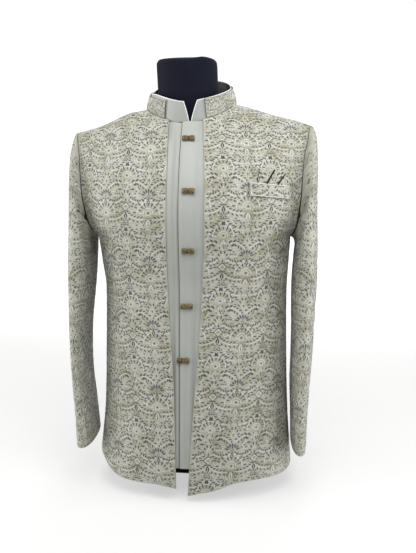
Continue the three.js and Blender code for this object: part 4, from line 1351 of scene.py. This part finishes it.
# Across the square in millimetres: x, height above the welt, how far out, and lean per rise
SQUARE_FOLDS = (
    (122, 2, 0.5, 0), (127, 22, 1, 0.1), (133, 27, 1.6, 0.25), (140, 28, 2.4, 0.45),
    (145.3, 26, 3.4, 0.53), (145.8, 25, 0.9, 0.53), (152, 25, 1.8, 0.6), (160, 24, 2.8, 0.7),
    (164.8, 21, 3.4, 0.75), (165.3, 20, 0.9, 0.7), (171, 17, 2, 0.5), (177, 8, 2.2, 0.25),
    (181, 1.5, 0.6, 0.1),
)
SQUARE_SLIT_SHADES = ((129, 0.6), (145.8, 1.8), (165.3, 1.5))  # x and radius in millimetres of the dark cords that paint the shade in the square's folds


class JACKET_OT_pocket(Piece):
    """Makes the breast welt and the folded square in it"""

    bl_idname = "jacket.pocket"
    bl_label = "Breast welt and square"

    def make(self, scene):
        x = np.linspace(WELT_START, WELT_END, 49)[None] + np.zeros((13, 1))
        z = self.top(x) - WELT_TALL * (1 - np.linspace(0, 1, 13)[:, None])
        welt = self.piece("breast_welt", x, z, np.full(x.shape, 3.0), 1.5)
        pale = bpy.data.materials["ivory_thread"]
        for k, row in ((1, -1), (2, 0)):
            line = welt.points[row] - welt.normals[row] * 0.3 * MM
            cord(f"breast_welt_edge_{k}", line, 0.5 * MM, pale)
        u, tall, out, slant = np.array(SQUARE_FOLDS).T
        across = np.unique(np.concatenate([np.linspace(u[0], u[-1], 55), u]).round(3))
        up = np.linspace(0, 1, 15)[:, None]
        rise = np.interp(across, u, tall)[None] * up
        x = across[None] + np.interp(across, u, slant)[None] * rise
        z = self.top(across)[None] + 0.4 + rise
        heights = 1.0 + np.interp(across, u, out)[None] * (0.4 + 0.6 * up)
        square = self.piece("pocket_square", x, z, heights, 0.7)
        # Painted shade: dark cords lie along the square's folds, where their shadow falls
        for k, (slit, radius) in enumerate(SQUARE_SLIT_SHADES):
            column = np.abs(across - slit).argmin()
            line = square.points[:, column] + square.normals[:, 3] * 1.2 * MM
            cord(f"square_fold_{k + 1}", line, radius * MM, painted_shade_material())

    def top(self, x):
        """Height of the welt's top edge."""
        return WELT_TOP - WELT_FALL * (x - WELT_START) / (WELT_END - WELT_START)

    def piece(self, node, x, z, heights, wall):
        """Embroidered cloth at places given in millimetres, and by its height over the chest."""
        chest = GROUNDS["front_left"]
        upright = Ground(chest.points, chest.points[..., [0, 2]], (0, 0))
        wanted = np.stack([x.ravel(), z.ravel()], axis=-1) * MM
        placed, _ = upright.lift(wanted, heights.ravel() * MM)
        row, column, _ = upright.find(wanted)
        pattern = read_grid(chest.pattern, row, column)
        ground = Ground(placed.reshape(*x.shape, 3), pattern.reshape(*x.shape, 2), (0, 0))
        embroidered_piece(node, ground, wall * MM)
        embroider(node, BODY["front_left"]["start"])
        return ground


FORM_SMOOTHING = 8  # rounds
NECK_TOP = 800 * MM  # the neck is flattened and humped above this height


class JACKET_OT_form(Piece):
    """Makes the smooth cover of the dress form"""

    bl_idname = "jacket.dress_form"
    bl_label = "Dress form"

    def make(self, scene):
        settings = scene.jacket_form
        shape = bmesh.new()
        shape.from_mesh(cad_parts["dress_form"].data)
        bmesh.ops.remove_doubles(shape, verts=shape.verts, dist=1e-5)
        piece = from_bmesh("dress_form_rough", shape)
        blocks = piece.modifiers.new("Even", "REMESH")
        blocks.mode = "VOXEL"
        blocks.voxel_size = settings.voxel
        soft = piece.modifiers.new("Soft", "SMOOTH")
        soft.factor = 0.5
        soft.iterations = FORM_SMOOTHING
        piece = finished_mesh(piece, "dress_form_cover")
        for vertex in piece.data.vertices:
            x, y, z = vertex.co
            front = min(max(-y / 0.05, 0), 1)
            top = min(max((z - NECK_TOP) / 0.03, 0), 1) * front
            hump = math.exp(-(((x - 0.027) / 0.012) ** 2))
            vertex.co.z = max(z + top * (3.5 * hump - 7 * front) * MM, 0)
        shade_smooth(piece.data)
        piece.data.materials.clear()
        piece.data.materials.append(form_finish("navy_cover", tuple(settings.cover)))
        carried(piece, "dress_form")


class JACKET_OT_declare(Piece):
    """Does nothing when run"""

    bl_idname = "jacket.declare_cloth"
    bl_label = "Cloth sizes"

    def make(self, scene):
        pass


CAMERA_DIP = math.radians(8.1)
CAMERA_ASIDE = math.radians(1.53)
CAMERA_LENS = 39.06
WORLD_LIGHT = 0.28

# Name, place in metres, size and watts; each lamp looks at the middle of the jacket
LAMPS = (
    ("key", (0.2, -0.8, 1.45), 0.9, 12.5),
    ("fill", (-1.3, -1.2, 1.6), 1.4, 4.5),
    ("left side", (1.7, -0.35, 0.6), 1.1, 19),
    ("right side", (-1.7, -0.35, 0.6), 1.1, 20),
    ("rim", (0.2, 1.5, 2.1), 1.4, 14),
)
LAMPS_AIM = Vector((0, 0, 0.45))


class JACKET_OT_stage(Piece):
    """Makes the floor, the soft lights and the camera"""

    bl_idname = "jacket.stage"
    bl_label = "Floor, lights and camera"

    def make(self, scene):
        settings = scene.jacket_stage
        shape = bmesh.new()
        bmesh.ops.create_grid(shape, x_segments=24, y_segments=24, size=4)
        for vertex in shape.verts:
            back = max(vertex.co.y - 1.3, 0)
            vertex.co.z = 0.9 * back**2 if back < 1 else 0.9 + 1.8 * (back - 1)
        floor = from_bmesh("pale_floor", shape, floor_finish("pale_floor", tuple(settings.floor)))
        a = settings.turn
        camera = bpy.data.objects.new("camera", bpy.data.cameras.new("camera"))
        reach = settings.distance
        camera.location = (reach * math.sin(a), -reach * math.cos(a), settings.height)
        camera.rotation_euler = Euler((math.pi / 2 - CAMERA_DIP, 0, a - CAMERA_ASIDE))
        camera.data.lens = CAMERA_LENS
        camera.data.sensor_width = 36
        scene.collection.objects.link(camera)
        scene.camera = camera
        for name, place, size, watts in LAMPS:
            lamp = bpy.data.objects.new(name, bpy.data.lights.new(name, "AREA"))
            lamp.data.size = size
            lamp.data.energy = watts
            lamp.location = place
            aim = (LAMPS_AIM - Vector(place)).to_track_quat("-Z", "Y")
            lamp.rotation_euler = aim.to_euler()
            scene.collection.objects.link(lamp)
        scene.view_settings.view_transform = "Standard"
        world = scene.world or bpy.data.worlds.new("world")
        scene.world = world
        world.use_nodes = True
        light = world.node_tree.nodes["Background"].inputs
        light["Color"].default_value = (1, 1, 1, 1)
        light["Strength"].default_value = WORLD_LIGHT


OPERATORS = (
    JACKET_OT_body,
    JACKET_OT_sleeves,
    JACKET_OT_collar,
    JACKET_OT_ivory,
    JACKET_OT_knots,
    JACKET_OT_pocket,
    JACKET_OT_form,
    JACKET_OT_embroidery,
    JACKET_OT_declare,
    JACKET_OT_stage,
)


class JACKET_PT_panel(bpy.types.Panel):
    """Lists the jacket's pieces"""

    bl_idname = "JACKET_PT_panel"
    bl_label = "Bandhgala jacket"
    bl_space_type = "VIEW_3D"
    bl_region_type = "UI"
    bl_category = "Jacket"

    def draw(self, context):
        for operator in OPERATORS:
            self.layout.operator(operator.bl_idname)
        for name in SETTINGS:
            settings = getattr(context.scene, name)
            box = self.layout.box()
            for key in settings.bl_rna.properties.keys():
                if key not in ("rna_type", "name"):
                    box.prop(settings, key)


def register():
    for group in SETTINGS.values():
        bpy.utils.register_class(group)
    for name, group in SETTINGS.items():
        setattr(bpy.types.Scene, name, bpy.props.PointerProperty(type=group))
    for operator in OPERATORS:
        bpy.utils.register_class(operator)
    bpy.utils.register_class(JACKET_PT_panel)


def unregister():
    bpy.utils.unregister_class(JACKET_PT_panel)
    for operator in reversed(OPERATORS):
        bpy.utils.unregister_class(operator)
    for name in SETTINGS:
        delattr(bpy.types.Scene, name)
    for group in reversed(tuple(SETTINGS.values())):
        bpy.utils.unregister_class(group)


def main():
    register()
    for operator in OPERATORS:
        category, name = operator.bl_idname.split(".")
        getattr(getattr(bpy.ops, category), name)()


if __name__ == "__main__":
    main()
